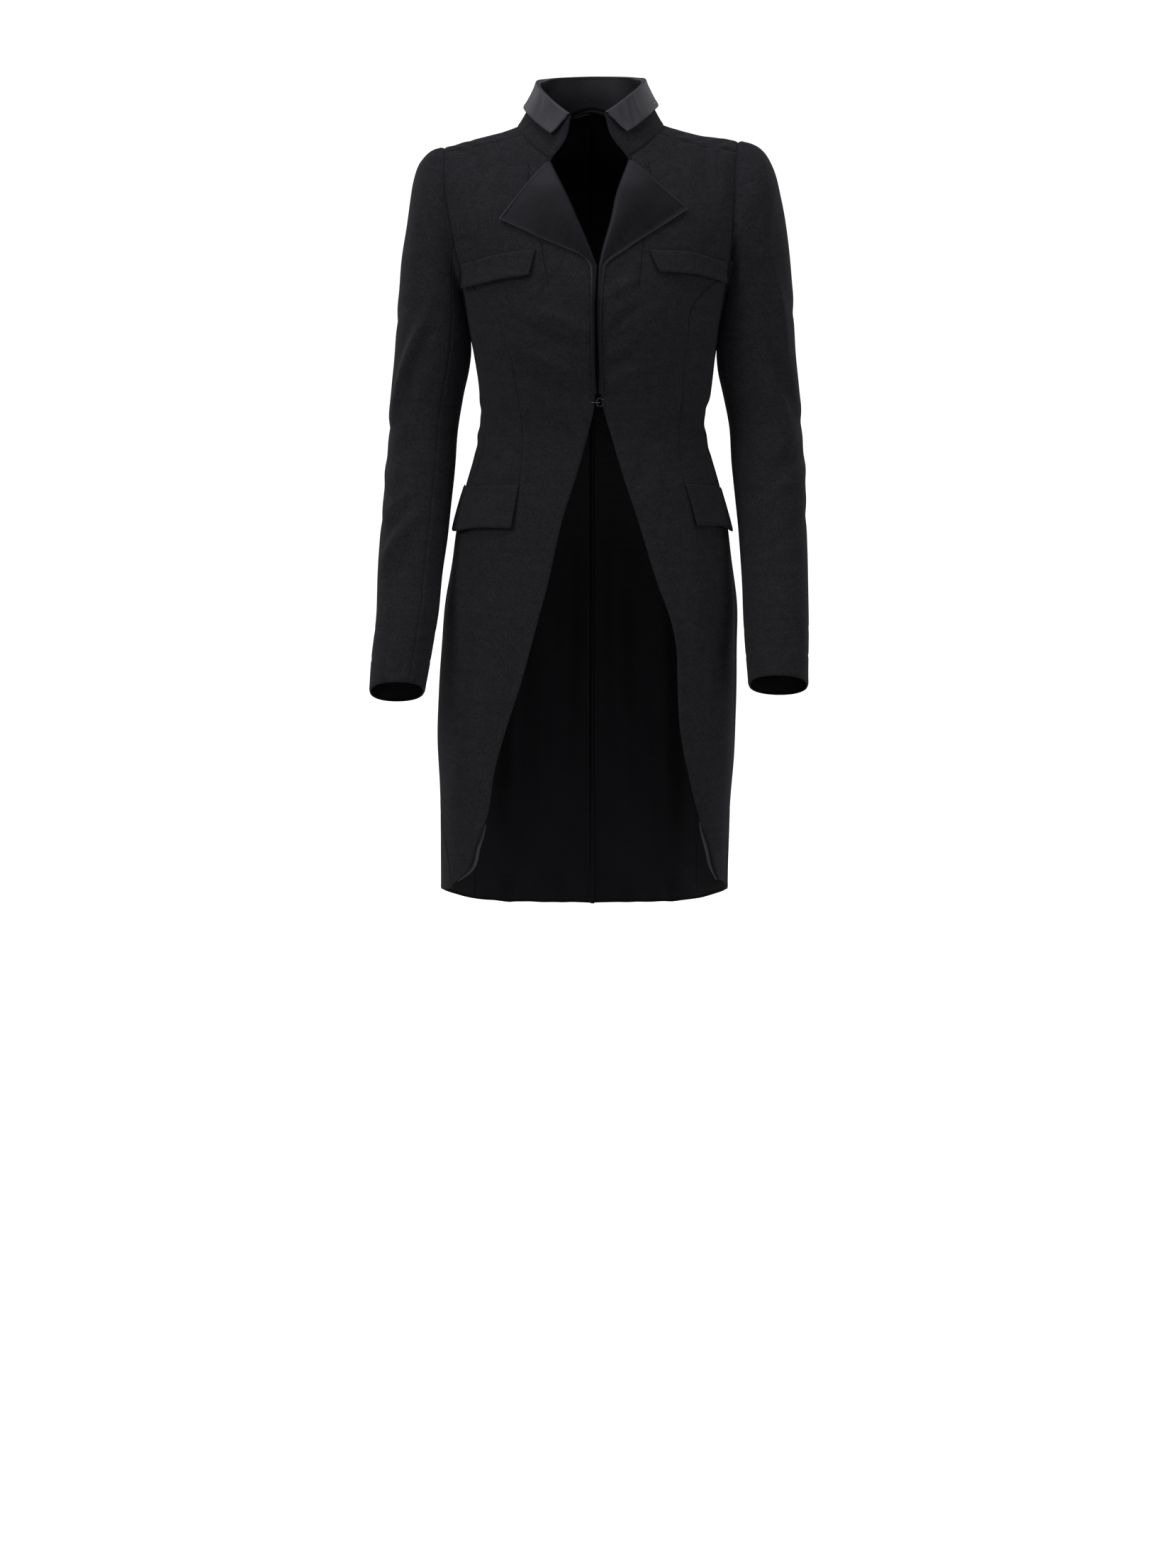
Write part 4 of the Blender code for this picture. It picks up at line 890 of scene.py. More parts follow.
def puckerHeight(x, distance, reach, direction):
    # short slanted bumps that fade away from the shoulder seam
    form, x = shoulderPuckers, np.abs(x)
    phase = (x + direction * form["slant"] * distance) / form["wave"]
    fade = np.clip((0.172 - x) / 0.02, 0, 1) * np.clip((x - 0.082) / 0.02, 0, 1)
    uneven = 0.6 + 0.4 * np.sin(2 * np.pi * x / 0.047 + 1.0)
    return form["height"] * uneven * np.sin(2 * np.pi * phase) * bell(distance, reach) * fade


def frontPanel(side):
    edgeZ = np.concatenate([skirtRows["edge"], chestRows["edge"]])
    neckTop = rollTop + 5

    def corner(rows):
        low, high = rollPlaces(side, 1.0), neckPlace(side, 0.06, False)
        return [first + (last - first) * (rows - rollTop) for first, last in zip(low, high)]

    def inner(rows):
        return chainOf(rows, (0, chestTop, lambda r: edgePlaces(side, rowHeights(edgeZ, r))),
                       (chestTop, rollTop, lambda r: rollPlaces(side, rowHeights(rollRows, r, chestTop))),
                       (rollTop, rollTop + 1, corner),
                       (rollTop + 1, neckTop, lambda r: neckPlace(side, 0.06 * (r - rollTop), False)))

    def split(rows):
        # line inside the skirt that spreads its columns from the front edge to the side seam
        edge = edgePlaces(side, rowHeights(edgeZ, rows))[0]
        pocketTurn = frontSeamPlaces(side, pocketZ)[0]
        turn = pocketTurn + (0.7 * outer(rows)[0] + 0.3 * edge - pocketTurn) * (1 - rows / skirtTop) ** 1.5
        return turn, dropAt(side, turn, (rowHeights(edgeZ, rows) + rowHeights(skirtRows["side"], rows)) / 2)

    def middle(rows):
        seamZ = np.append(pocketZ, chestRows["seam"])
        lastA = armholeFrontLine["a"][-1]
        return chainOf(rows, (0, skirtTop, split),
                       (skirtTop, chestTop, lambda r: frontSeamPlaces(side, rowHeights(seamZ, r, skirtTop))),
                       (chestTop, neckTop,
                        lambda r: armholeFront(side, lastA * (1 - (r - chestTop) / (neckTop - chestTop)))))

    def outer(rows):
        return sideSeamPlaces(side, rowHeights(skirtRows["side"], rows))

    rows, _, turn, drop = panelGrid(side, inner, middle, neckTop)
    points, normals = clothSurface(side, turn, drop)
    fromStart, fromEnd, fromBottom, fromTop = edgeDistances(points)
    fromEnd = np.where((rows > skirtTop)[:, None], fromEnd, 1)
    pucker = puckerHeight(points[..., 0], fromTop, shoulderPuckers["reachFront"], 1)
    distance = np.minimum.reduce([fromStart, fromEnd, fromBottom, fromTop])
    points = points + normals * (edgeDip(distance) + pucker)[..., None]
    # the skirt goes on past the split line to the side seam; above the pocket its cells are left out
    low = rows <= skirtTop
    start, end = middle(rows[low]), outer(rows[low])
    far, farNormals = clothSurface(side, *between(start, end, spreadColumns(side, start, end)[:, 1:]))
    far = far + farNormals * edgeDip(np.minimum.reduce(edgeDistances(far)[1:]))[..., None]
    columns = points.shape[1] - 1
    points, normals = [
        np.concatenate([near, np.concatenate([more, np.repeat(more[-1:], len(rows) - len(more), 0)])], 1)
        for near, more in ((points, far), (normals, farNormals))]
    kept = np.ones((len(points) - 1, points.shape[1] - 1), bool)
    kept[len(far) - 1:, columns:] = False
    clothPiece("frontPanel", "front", side, points, normals, (frontWool[side], lining), kept=kept)


def fitTop(side, turn, drop, rows, share, first, last, reach):
    # bends the upper rows so that the last one lies on the armhole
    firstA, lastA = armholeUnderLine["a"][[first, last]]
    top = armholeUnder(side, firstA + (lastA - firstA) * share[-1])
    reach = np.clip((rows / rows[-1] - 1 + reach) / reach, 0, 1)[:, None]
    fitted = []
    for values, wanted in zip((turn, drop), top):
        change = wanted - values[-1]
        change[0], change[-1] = 0, 0
        fitted.append(values + reach * change)
    return fitted


def dipped(side, turn, drop, extra=0.0):
    points, normals = clothSurface(side, turn, drop)
    return points + normals * (edgeDip(fromEdges(points)) + extra)[..., None], normals


def sideFrontPanel(side):
    seamZ, sideZ = np.append(pocketZ, chestRows["seam"]), np.append(pocketZ, chestRows["side"])
    rows, share, turn, drop = panelGrid(
        side, lambda r: frontSeamPlaces(side, rowHeights(seamZ, r)),
        lambda r: sideSeamPlaces(side, rowHeights(sideZ, r)), len(seamZ) - 1)
    turn, drop = fitTop(side, turn, drop, rows, share, 0, 2, 0.4)
    clothPiece("sideFront", "side_front", side, *dipped(side, turn, drop))


def hemDropped(side, turn, drop, rows, lastChanges):
    # the lowest rows are let down to the hem line
    hem = dropAt(side, turn[0], read(hemLine, "z", turn[0])) - drop[0]
    hem[-1] = 0
    if lastChanges:
        hem[0] = 0
    return drop + np.clip(1 - rows / 5, 0, 1)[:, None] * hem


def sideBackPanel(side):
    sideZ, backZ = [np.concatenate([skirtRows[key], chestRows[key]]) for key in ("side", "back")]
    rows, share, turn, drop = panelGrid(
        side, lambda r: sideSeamPlaces(side, rowHeights(sideZ, r)),
        lambda r: backSeamPlaces(side, rowHeights(backZ, r)), len(sideZ) - 1)
    turn, drop = fitTop(side, turn, drop, rows, share, 2, -1, 0.25)
    clothPiece("sideBack", "side_back", side, *dipped(side, turn, hemDropped(side, turn, drop, rows, True)))


def backPanel(side):
    seamZ = np.concatenate([skirtRows["back"], chestRows["back"]])
    seamTop = len(seamZ) - 1
    centreTop, lastRow = seamTop + 5, seamTop + 13
    topDrop = neckSeam[side]["drop"][-1]
    lowDrop = dropAt(side, np.array(180.0), seamZ[-1])
    firstA, lastA = armholeBackLine["a"][[0, -1]]

    def centre(rows):
        return chainOf(rows, (0, seamTop, lambda r: (180, dropAt(side, 180 + 0 * r, rowHeights(seamZ, r)))),
                       (seamTop, centreTop,
                        lambda r: (180, lowDrop + (topDrop - lowDrop) * (r - seamTop) / 5)),
                       (centreTop, lastRow,
                        lambda r: neckPlace(side, 1 - (1 - shoulderSeamAt) * (r - centreTop) / 8, True)))

    def outer(rows):
        return chainOf(rows, (0, seamTop, lambda r: backSeamPlaces(side, rowHeights(seamZ, r))),
                       (seamTop, seamTop + 9,
                        lambda r: armholeBack(side, firstA + (lastA - firstA) * (r - seamTop) / 9)),
                       (seamTop + 9, lastRow, lambda r: armholeTop(side, (r - seamTop - 9) / 4)))

    rows, _, turn, drop = panelGrid(side, centre, outer, lastRow)
    drop = hemDropped(side, turn, drop, rows, False)
    flat = formPoint(side, turn, drop)
    pucker = puckerHeight(flat[..., 0], edgeDistances(flat)[3], shoulderPuckers["reachBack"], -1)
    points, normals = dipped(side, turn, drop, pucker)
    if side == leftSide:
        # two columns more are sewn in behind the right half, so that the seam lets no light through
        onSeam = np.clip(centreTop - rows, 0, 1)[:, None] * np.array([1, 0, 0])
        edge, inward = points[:, 0], -normals[:, 0]
        sewnIn = [edge + inward * deep + onSeam * wide for deep, wide in ((0.0026, 0.004), (0.0021, 0.0004))]
        points = np.concatenate([np.stack(sewnIn, 1), points], 1)
        normals = np.concatenate([normals[:, :1]] * 2 + [normals], 1)
    clothPiece("back", "back", side, points, normals)


# Sleeves.
# outer and inner end of each ring in front view, then the middle, half depth and tilt of both sleeves
sleeveEnds = {leftSide: table("k outX outZ inX inZ", """
1 1775 -172 1515 -1925
2 1850 -200 1500 -1960
3 1925 -265 1482 -2005
4 2010 -385 1464 -2070
5 2065 -560 1445 -2150
6 2105 -780 1427 -2260
7 2155 -1100 1408 -2400
8 2215 -1500 1404 -2570
9 2250 -1950 1434 -2800
10 2300 -2500 1500 -3080
11 2350 -3050 1560 -3450
12 2380 -3580 1595 -3850
13 2420 -4080 1635 -4250
14 2465 -4580 1680 -4680
15 2500 -5080 1740 -5130
16 2515 -5560 1790 -5580
17 2570 -6020 1865 -6020
18 2600 -6460 1945 -6450
""", "k"), rightSide: table("k outX outZ inX inZ", """
1 1775 -65 1580 -1925
2 1870 -105 1572 -1960
3 1970 -180 1562 -2005
4 2060 -300 1541 -2070
5 2140 -470 1518 -2150
6 2200 -700 1490 -2260
7 2265 -1030 1470 -2400
8 2325 -1500 1466 -2570
9 2357 -1980 1488 -2800
10 2394 -2500 1550 -3080
11 2448 -3050 1622 -3450
12 2486 -3580 1650 -3850
13 2510 -4080 1690 -4250
14 2530 -4580 1735 -4680
15 2540 -5080 1760 -5130
16 2547 -5540 1775 -5560
17 2545 -5980 1800 -5970
18 2545 -6385 1835 -6370
""", "k")}
sleeveDepths = table("k midY depth raise", """
1 40 600 0
2 40 610 0
3 40 610 0
4 40 610 0
5 40 600 0
6 40 580 0
7 40 560 0
8 40 550 0
9 50 540 0
10 60 530 20
11 50 510 40
12 0 500 60
13 -80 480 80
14 -200 460 90
15 -340 430 100
16 -490 400 140
17 -610 380 160
18 -710 370 180
""", "k")
sleeveForm = {"roundness": 2.15, "armholeStep": 0.0002, "length": 0.66, "rings": 18,
              "seams": {leftSide: (116.0, 238.0), rightSide: (138.0, 238.0)},
              "headGathers": 0.00022, "pressLines": (16.45, 17.15), "pressDepth": 0.0006}
ringStep = 0.0029
# creases of the sleeves: both ends, bow, half width, height, in front view, from behind and from outside
sleeveCreases = {"front": bothSides("""
-2050 -600 -1920 -1800 60 80 -12
-1860 -600 -1760 -1500 40 70 8
-2370 -3380 -1880 -1960 30 50 19
-2270 -3400 -1820 -2140 30 70 -19
-2060 -3300 -1800 -2620 30 70 9
-2360 -3800 -1960 -3520 40 90 -8
-2480 -4460 -2040 -4080 30 60 14
-2400 -4600 -2000 -4280 30 75 -15
-2460 -5050 -2080 -4380 30 55 16
-2360 -5300 -2060 -4700 30 80 -10
""", """
2120 -600 2060 -1900 -60 80 10
1920 -800 1840 -1800 -40 70 -9
1980 -1500 2160 -2660 30 75 -18
2160 -2620 2460 -3380 30 70 -20
2080 -1500 2280 -2620 30 60 12
1880 -2500 2040 -3300 30 80 9
2460 -3620 2000 -3900 50 85 -9
2480 -3800 1960 -4200 40 75 10
2480 -4400 2040 -4760 40 85 -8
"""), "behind": bothSides("""
-2260 -3000 -1780 -3300 50 80 -14
-2320 -3400 -1820 -3520 50 70 12
-2360 -3660 -1840 -3880 -50 80 -14
-2380 -4100 -1960 -4200 40 70 -10
-2120 -800 -1860 -2000 60 90 -12
""", """
2320 -2960 1840 -3260 50 80 -14
2400 -3360 1860 -3500 50 70 12
2440 -3620 1900 -3840 -50 80 -14
2460 -4080 2000 -4200 40 70 -10
2220 -800 1960 -2000 -60 90 -12
"""), "outside": bothSides("""
-300 -2000 300 -2500 60 90 -8
-400 -3700 340 -3300 60 90 -9
-500 -4200 240 -3840 60 90 8
-600 -4700 100 -4400 50 90 -7
""", """
-300 -1900 300 -2400 60 90 -8
-400 -3660 340 -3260 60 90 -9
-500 -4160 240 -3800 60 90 8
-600 -4660 100 -4360 50 90 -7
""")}


def armholeLoop(side, angles):
    # armhole points at angles round it: 0 at the top, 90 in front, 180 below
    ends = [line["a"][[0, -1]] for line in (armholeUnderLine, armholeBackLine)]
    parts = [armholeFront(side, np.linspace(0, armholeFrontLine["a"][-1], 30)),
             armholeUnder(side, np.linspace(*ends[0], 30)[1:]),
             armholeBack(side, np.linspace(*ends[1], 24)[1:]), armholeTop(side, np.linspace(0, 1, 14)[1:-1])]
    points = formPoint(side, *[np.concatenate([part[i] for part in parts]) for i in (0, 1)])
    roundIt = np.degrees(np.arctan2(-points[:, 1], points[:, 2] + 0.10)) % 360
    order = np.argsort(roundIt)
    roundIt, points = roundIt[order], points[order]
    roundIt = np.concatenate([roundIt - 360, roundIt, roundIt + 360])
    return np.stack([np.interp(angles, roundIt, np.tile(points[:, axis], 3)) for axis in range(3)], -1)


def sleeveRings(side, angles, stations):
    # superellipse rings whose outer and inner ends, depth and tilt are read down the arm
    angle = np.radians(angles)[None, :]
    ends = {key: read(tab, key, stations)[:, None] for tab in (sleeveEnds[side], sleeveDepths) for key in tab}
    along, deep = [signedPower(wave, 2 / sleeveForm["roundness"]) for wave in (np.cos(angle), np.sin(angle))]
    x, z = [(ends["out" + axis] + ends["in" + axis]) / 2
            + (ends["out" + axis] - ends["in" + axis]) / 2 * along for axis in "XZ"]
    return np.stack([side * x, ends["midY"] - ends["depth"] * deep, z + ends["raise"] * deep], -1)


def sleeveSurface(side, angles, stations):
    # rings pulled onto the armhole at the top; the first stretch rolls out of the seam
    held, sideways = np.maximum(stations, 1.0), np.array([side, 0, 0])
    rings = sleeveRings(side, angles, held)
    first = sleeveRings(side, angles, np.array([1.0])) - sideways * 0.004
    loop = armholeLoop(side, angles) + sideways * sleeveForm["armholeStep"]
    into = np.clip(held / 4, 0, 1)[:, None, None]
    ease = into * into * (3 - 2 * into)
    points = (loop[None] + rings - first) * (1 - ease) + rings * ease
    out = np.clip(stations, 0, 1)[:, None, None]
    return loop[None] * (1 - out) + points * out + sideways * 0.0005 * np.sin(np.pi * out)


def sleeveHalf(side, which, start, end):
    count = int((end - start) / 360 * 0.34 / ringStep)
    fine = np.array([0, 0.9, 2.0, 3.6, 5.8])
    angles = np.concatenate([start + fine, np.linspace(start + fine[-1], end - fine[-1], count)[1:-1],
                             end - fine[::-1]])
    ringGap = sleeveForm["length"] / sleeveForm["rings"]
    stations = spreadRows(np.full(sleeveForm["rings"], ringGap))
    points = sleeveSurface(side, angles, stations)
    wide = sleeveSurface(side, angles + 1.0, stations) - sleeveSurface(side, angles - 1.0, stations)
    normals = unit(np.cross(wide, np.gradient(points, axis=0)) * side)
    x, y, z = np.moveaxis(points, -1, 0)
    front, behind = np.clip(-normals[..., 1], 0, 1), np.clip(normals[..., 1] * 1.4, 0, 1)
    outside = np.clip(side * normals[..., 0] * 1.3, 0, 1)
    relief = (front * foldHeight(sleeveFolds[side], x, z) + clothWaves(points)
              + np.clip(front * 1.5, 0, 1) * creaseHeight(sleeveCreases["front"][side], x, z)
              + behind * creaseHeight(sleeveCreases["behind"][side], x, z)
              + outside * creaseHeight(sleeveCreases["outside"][side], y, z))
    # fine gathers round the sleeve head, then two pressed lines above the cuff
    head = np.clip(np.cos(np.radians(angles)) * 1.6, 0, 1) * np.sin(np.radians(angles) * 26)
    relief += sleeveForm["headGathers"] * head * bell(edgeDistances(points)[2] - 0.006, 0.010)
    for station in sleeveForm["pressLines"]:
        relief -= sleeveForm["pressDepth"] * bell((stations - station)[:, None] * ringGap, 0.0016)
    points = points + normals * (relief + edgeDip(fromEdges(points)))[..., None]
    # two rows more are sewn in under the edge of the body
    middle = armholeLoop(side, np.arange(0.0, 360.0, 15.0)).mean(axis=0)
    inward = (middle - points[0]) * 0.04 - np.array([side * 0.012, 0, 0])
    points = np.concatenate([[points[0] + inward, points[0] + inward * 0.5], points])
    normals = np.concatenate([normals[:1], normals[:1], normals])
    clothPiece(which + "Sleeve", which + "_sleeve", side, points, normals, held="hung")


for side in sideNames:
    for makePanel in (frontPanel, sideFrontPanel, sideBackPanel, backPanel):
        makePanel(side)
    frontAngle, backAngle = sleeveForm["seams"][side]
    sleeveHalf(side, "under", frontAngle, backAngle)
    sleeveHalf(side, "top", backAngle, frontAngle + 360)
print("wool panels and sleeves made")


# Collar.
collarForm = {"wall": 0.0020, "satin": 0.0011, "layGap": 0.0009, "hollow": -0.0025, "fallShare": 0.42,
              "fallPull": 0.085, "pleatHeight": 0.00035, "pleatWave": 0.0065, "endBow": 0.0055,
              "endReach": 0.16}
standEdge = {"swell": 0.0003, "swellAt": 0.0042, "swellWidth": 0.0026, "depth": 0.0013, "width": 0.0013}
fallEdge = {"swell": 0.0003, "swellAt": 0.0028, "swellWidth": 0.0018, "depth": 0.0004, "width": 0.0010}
# creases of the fall: place round the neck, lean, half width, height
fallCreases = numbers("""
0.79 0.05 0.014 -0.0022
0.83 0.04 0.012 0.0012
0.87 0.03 0.012 -0.0018
0.74 0.05 0.020 0.0006
-0.70 -0.06 0.020 -0.0008
-0.80 -0.04 0.018 0.0004
0.35 0.04 0.020 -0.0008
-0.30 -0.05 0.020 -0.0008
0.05 0.04 0.022 0.0006
""")
collarTop = table("u x y z", """
-1 -246 -650 220
-0.8 -450 -480 370
-0.55 -625 -60 545
-0.3 -500 380 575
0 0 610 585
0.3 500 380 590
0.55 615 -60 570
0.8 400 -480 400
1 160 -650 240
""", "u")
neckKnots = np.linspace(-1, 1, 17)
neckSides = [leftSide if u < 0 else rightSide for u in neckKnots]
neckPoints = [formPoint(side, *neckPlace(side, 1 - abs(u), True)) for side, u in zip(neckSides, neckKnots)]
neckLine = dict(zip("uxyz", np.column_stack([neckKnots, neckPoints]).T))
level = np.array([1, 1, 0])


def standSurface(u, v):
    # straight lines from the neck seam to the fold line of the collar, slightly hollow
    u, v = np.broadcast_arrays(u, v)
    bottom, top = [np.stack([read(line, axis, u) for axis in "xyz"], -1) for line in (neckLine, collarTop)]
    arch = np.sin(np.pi * np.clip(v, 0, 1))
    # both front ends bow towards the centre
    bow = collarForm["endBow"] * bell(np.abs(u) - 1, collarForm["endReach"]) * np.abs(arch) ** 1.5
    forward = np.stack([-np.sign(u) * 0.9, np.full(u.shape, -0.45), np.zeros(u.shape)], -1)
    return (bottom + (top - bottom) * v[..., None] + forward * bow[..., None]
            + unit(top * level) * (collarForm["hollow"] * arch)[..., None])


def collarStand():
    u = np.concatenate([[-1, -0.996, -0.99], np.linspace(-0.98, 0.98, 150), [0.99, 0.996, 1]])[None, :]
    # the lowest rows are sewn in, hidden under the neck edges of the panels
    v = np.concatenate([[-0.055, -0.03, 0, 0.015, 0.035, 0.06], np.linspace(0.09, 0.94, 22), [0.97, 1]])
    points = standSurface(u, v[:, None])
    normals = -gridNormals(points)
    fromStart, fromEnd, _, fromTop = edgeDistances(points)
    fromNeck = np.linalg.norm(points - points[2], axis=-1)
    distance = np.minimum.reduce([fromStart, fromEnd, fromTop, fromNeck])
    points = points + normals * edgeDip(distance, standEdge)[..., None]
    clothPiece("collarStand", "collar_stand", None, points, normals, (standWool, wool), held="folded",
               restsOn=["backLeft", "backRight"])


def collarFall():
    # one profile carried round the neck: up the inside of the stand, over it and down its outside
    form = collarForm
    over = form["layGap"] + form["satin"]
    inside = -(form["wall"] + over)
    profile = np.array([
        (0.06, inside, 0, 0), (0.35, inside, 0, 0), (0.65, inside, 0, 0), (0.93, inside, 0, 0),
        (1.0, inside * 0.9, over * 0.85, 0), (1.0, -0.001, over * 1.35, 0), (1.0, 0.0018, over * 0.9, 0.05),
        (0.92, 0.0027, 0, 0.2), (0.76, 0.0038, 0, 0.55), (form["fallShare"], 0.0060, 0, 1)]).T
    at = np.concatenate([np.linspace(0, 3, 14)[:-1], np.linspace(3, 7, 22)[:-1], np.linspace(7, 9, 14),
                         [0.03, 0.1, 8.9, 8.96]])
    at = np.sort(at)
    v, out, rise, down = [smoothCurve(np.arange(10), column, at)[:, None] for column in profile]
    along = np.concatenate([[-0.992, -0.988, -0.981], np.linspace(-0.972, 0.972, 150), [0.981, 0.988, 0.992]])
    u = along[None, :] * (1 - form["fallPull"] * down)
    v, step = np.broadcast_to(v, u.shape), 0.01
    base = standSurface(u, v)
    normal = unit(np.cross(standSurface(u + step, v) - standSurface(u - step, v),
                           standSurface(u, v + step) - standSurface(u, v - step)))
    outward = np.sign(np.sum(normal * (base * level), -1, keepdims=True))
    points = base + normal * outward * out[..., None] + rise[..., None] * np.array([0, 0, 1])
    facing = gridNormals(points)
    facing = facing * np.sign(np.sum(facing[-3] * (points[-3] * level)))
    # small upright pleats where the satin is eased round the inside of the neck
    isInside = np.clip((4.2 - at) / 1.5, 0, 1)[:, None]
    relief = (form["pleatHeight"] * np.sin(2 * np.pi * arcs(points, 1) / form["pleatWave"]) * isInside
              * bell(np.abs(u) - 0.55, 0.28))
    relief += 0.0004 * np.sin(21 * u + 4 * at[:, None] / 9) * np.clip(down * 1.5, 0, 1)
    for placed, lean, width, height in fallCreases:
        relief += height * bell(u - placed - lean * down, width) * np.sin(np.pi * np.clip(down, 0, 1)) ** 0.7
    points = points + facing * (relief + edgeDip(fromEdges(points), fallEdge))[..., None]
    looks = [collarSatin] * 2 + [collarInsidePaintedShade] * 2
    made = clothPiece("collarFall", "collar_fall", None, points, facing, looks, "light_satin", 0.0010, "folded",
                      ["collarStand"])
    # the rows up the inside of the stand take the darker copy of the satin: painted shade
    rowOfFace = np.repeat(np.arange(len(at) - 1), points.shape[1] - 1)
    made.data.polygons.foreach_set("material_index", np.where(at[rowOfFace] < 3.9, 2, 0).astype(np.int32))


collarStand()
collarFall()


# Lapels with their facing.
lapelForm = {"highlightWidth": 0.0011, "stripWidth": 0.0019, "foldGap": 0.0005, "behindWidth": 0.007,
             "layGap": 0.0011, "wall": 0.0020, "satin": 0.0011, "bulge": 0.0016, "stripRows": 9,
             "cell": 0.0022}
lapelEdge = {"swell": 0.0006, "swellAt": 0.0016, "swellWidth": 0.0011, "depth": 0.0009, "width": 0.0009}
lapelOutline = {leftSide: table("s x z", """
0 1045 -935
0.3 820 -1030
0.55 590 -1130
0.8 255 -1264
0.9 128 -1318
0.96 58 -1372
1 12 -1440
""", "s"), rightSide: table("s x z", """
0 1093 -827
0.25 846 -980
0.55 515 -1177
0.8 325 -1306
0.9 240 -1360
0.96 192 -1402
1 160 -1440
""", "s")}


def lapel(side):
    # a roll line turned over a wire-thin fold: back of the facing, half round bend, lapel face
    form = lapelForm
    roll, stripZ = rollRows[::-1], chestRows["edge"][::-1][:form["stripRows"]]
    rollLast = len(roll) - 1
    lastRow = rollLast + len(stripZ) - 1

    def line(rows):
        return chainOf(rows, (0, rollLast, lambda r: rollPlaces(side, rowHeights(roll, r))),
                       (rollLast, lastRow, lambda r: edgePlaces(side, rowHeights(stripZ, r, rollLast))))

    def strip(rows):
        # the strip's width takes over from the lapel's over a short stretch
        z = rowHeights(stripZ, rows, rollLast)
        spread = 1 + 1.8 * np.exp((z - stripZ[0]) / 0.020)
        return placeAt(side, side * read(frontEdge, side, z) + edgeRoom + form["stripWidth"] * spread, z)

    def outer(rows):
        s = 1 - rowHeights(roll, rows)
        return placeAt(side, read(lapelOutline[side], "x", s), read(lapelOutline[side], "z", s))

    gaps = np.diff(formPoint(side, *line(np.arange(lastRow + 1.0))), axis=0)
    rows = spreadRows(np.linalg.norm(gaps, axis=-1), form["cell"])
    start, out = line(rows), chainOf(rows, (0, rollLast, outer), (rollLast + 1e-6, lastRow, strip))
    width = spanOf(side, out, start)[:, None]
    share = np.concatenate([np.linspace(0, 1, 34)[1:-3], [0.955, 0.968, 0.98, 0.988, 0.994, 1.0]])[None, :]
    big = np.clip(width / 0.05, 0, 1)
    standOff = (np.minimum(width * 0.03, 0.0030) * share
                + 0.0006 * big * np.sin(7.5 * share + 0.16 * rows[:, None]) * share * (1 - share)
                + form["bulge"] * big * np.sin(np.pi * np.minimum(share * 1.6, 1)) * np.exp(-2 * share))
    lift = form["layGap"] + form["satin"] + standOff
    face, faceNormal = clothSurface(side, *between(start, out, share), lift, False)
    edge, normal = clothSurface(side, *start, 0.0, False)
    inward = formPoint(side, start[0] + 0.5, start[1]) - formPoint(side, start[0] - 0.5, start[1])
    tangent = np.gradient(edge, axis=0)
    inward = unit(inward - tangent * (np.sum(inward * tangent, -1) / np.sum(tangent * tangent, -1))[:, None])
    middle, normal, inward = [part[:, None] for part in (edge - normal * (form["wall"] / 2), normal, inward)]
    radius = form["wall"] / 2 + form["foldGap"] + form["satin"]
    angle, back = np.radians(np.linspace(-90, 90, 11))[:, None], np.linspace(1, 0, 5)[:-1, None]
    bend = middle + normal * (radius * np.sin(angle)) - inward * (radius * np.cos(angle))
    behind = (middle - normal * (radius + form["behindWidth"] * 0.08 * back)
              + inward * (form["behindWidth"] * back))
    points = np.concatenate([behind, bend, face], 1)
    facing = gridNormals(points)
    facing = facing * np.sign(np.sum(facing[:, -2] * faceNormal[:, -2]))
    _, fromEnd, fromTop, _ = edgeDistances(points)
    distance = np.minimum(fromEnd, fromTop)
    onFace = np.arange(points.shape[1]) >= len(back) + len(angle)
    # the painted highlight along the edge fades down the strip
    fade = 0.9 * np.exp(-np.clip(-points[:, -1:, 2] - 0.150, 0, 1) / 0.035) + 0.1
    points = points + facing * (edgeDip(distance, lapelEdge) * onFace)[..., None]
    clothPiece("lapel", "facing", side, points, facing, [lapelSatin] * 2, "satin", 0.0009, "folded",
               [sided("frontPanel", side)], paintedHighlight=bell(distance, form["highlightWidth"]) * onFace * fade)


for side in sideNames:
    lapel(side)


# Satin slivers at the lower corners.
hemSliver = {"top": -0.800, "bottom": -0.874, "inside": 0.014, "showing": 0.0052, "under": 0.0033}


def hemFacing(side):
    form = hemSliver
    z = np.linspace(form["top"], form["bottom"], 44)
    point, normal = clothSurface(side, *edgePlaces(side, z))
    inward = np.cross(unit(np.gradient(point, axis=0)), normal)
    inward = inward * np.sign(np.sum(inward[0] * np.array([side, 0, 0])))
    swell = np.sin(np.linspace(0.02, 0.98, len(z)) * np.pi)[:, None, None] ** 0.9
    across = np.linspace(0, 1, 12)[None, :, None]
    away = form["inside"] * (1 - across) - form["showing"] * across**2 * swell
    sag = form["under"] + 0.0006 * across + 0.0005 * np.sin(z * 160)[:, None, None] * across
    points = point[:, None] - normal[:, None] * sag + inward[:, None] * away
    clothPiece("hemFacing", "hem_facing", side, points, np.broadcast_to(normal[:, None], points.shape),
               [collarSatin] * 2, "light_satin", 0.0008, "folded", [sided("frontPanel", side)])


for side in sideNames:
    hemFacing(side)


# Pocket flaps.
flapForm = {"gap": 0.0006, "wall": 0.0020, "standOff": 0.0035}
flapEdge = {"swell": 0.0004, "swellAt": 0.0036, "swellWidth": 0.0020, "depth": 0.0006, "width": 0.0012}
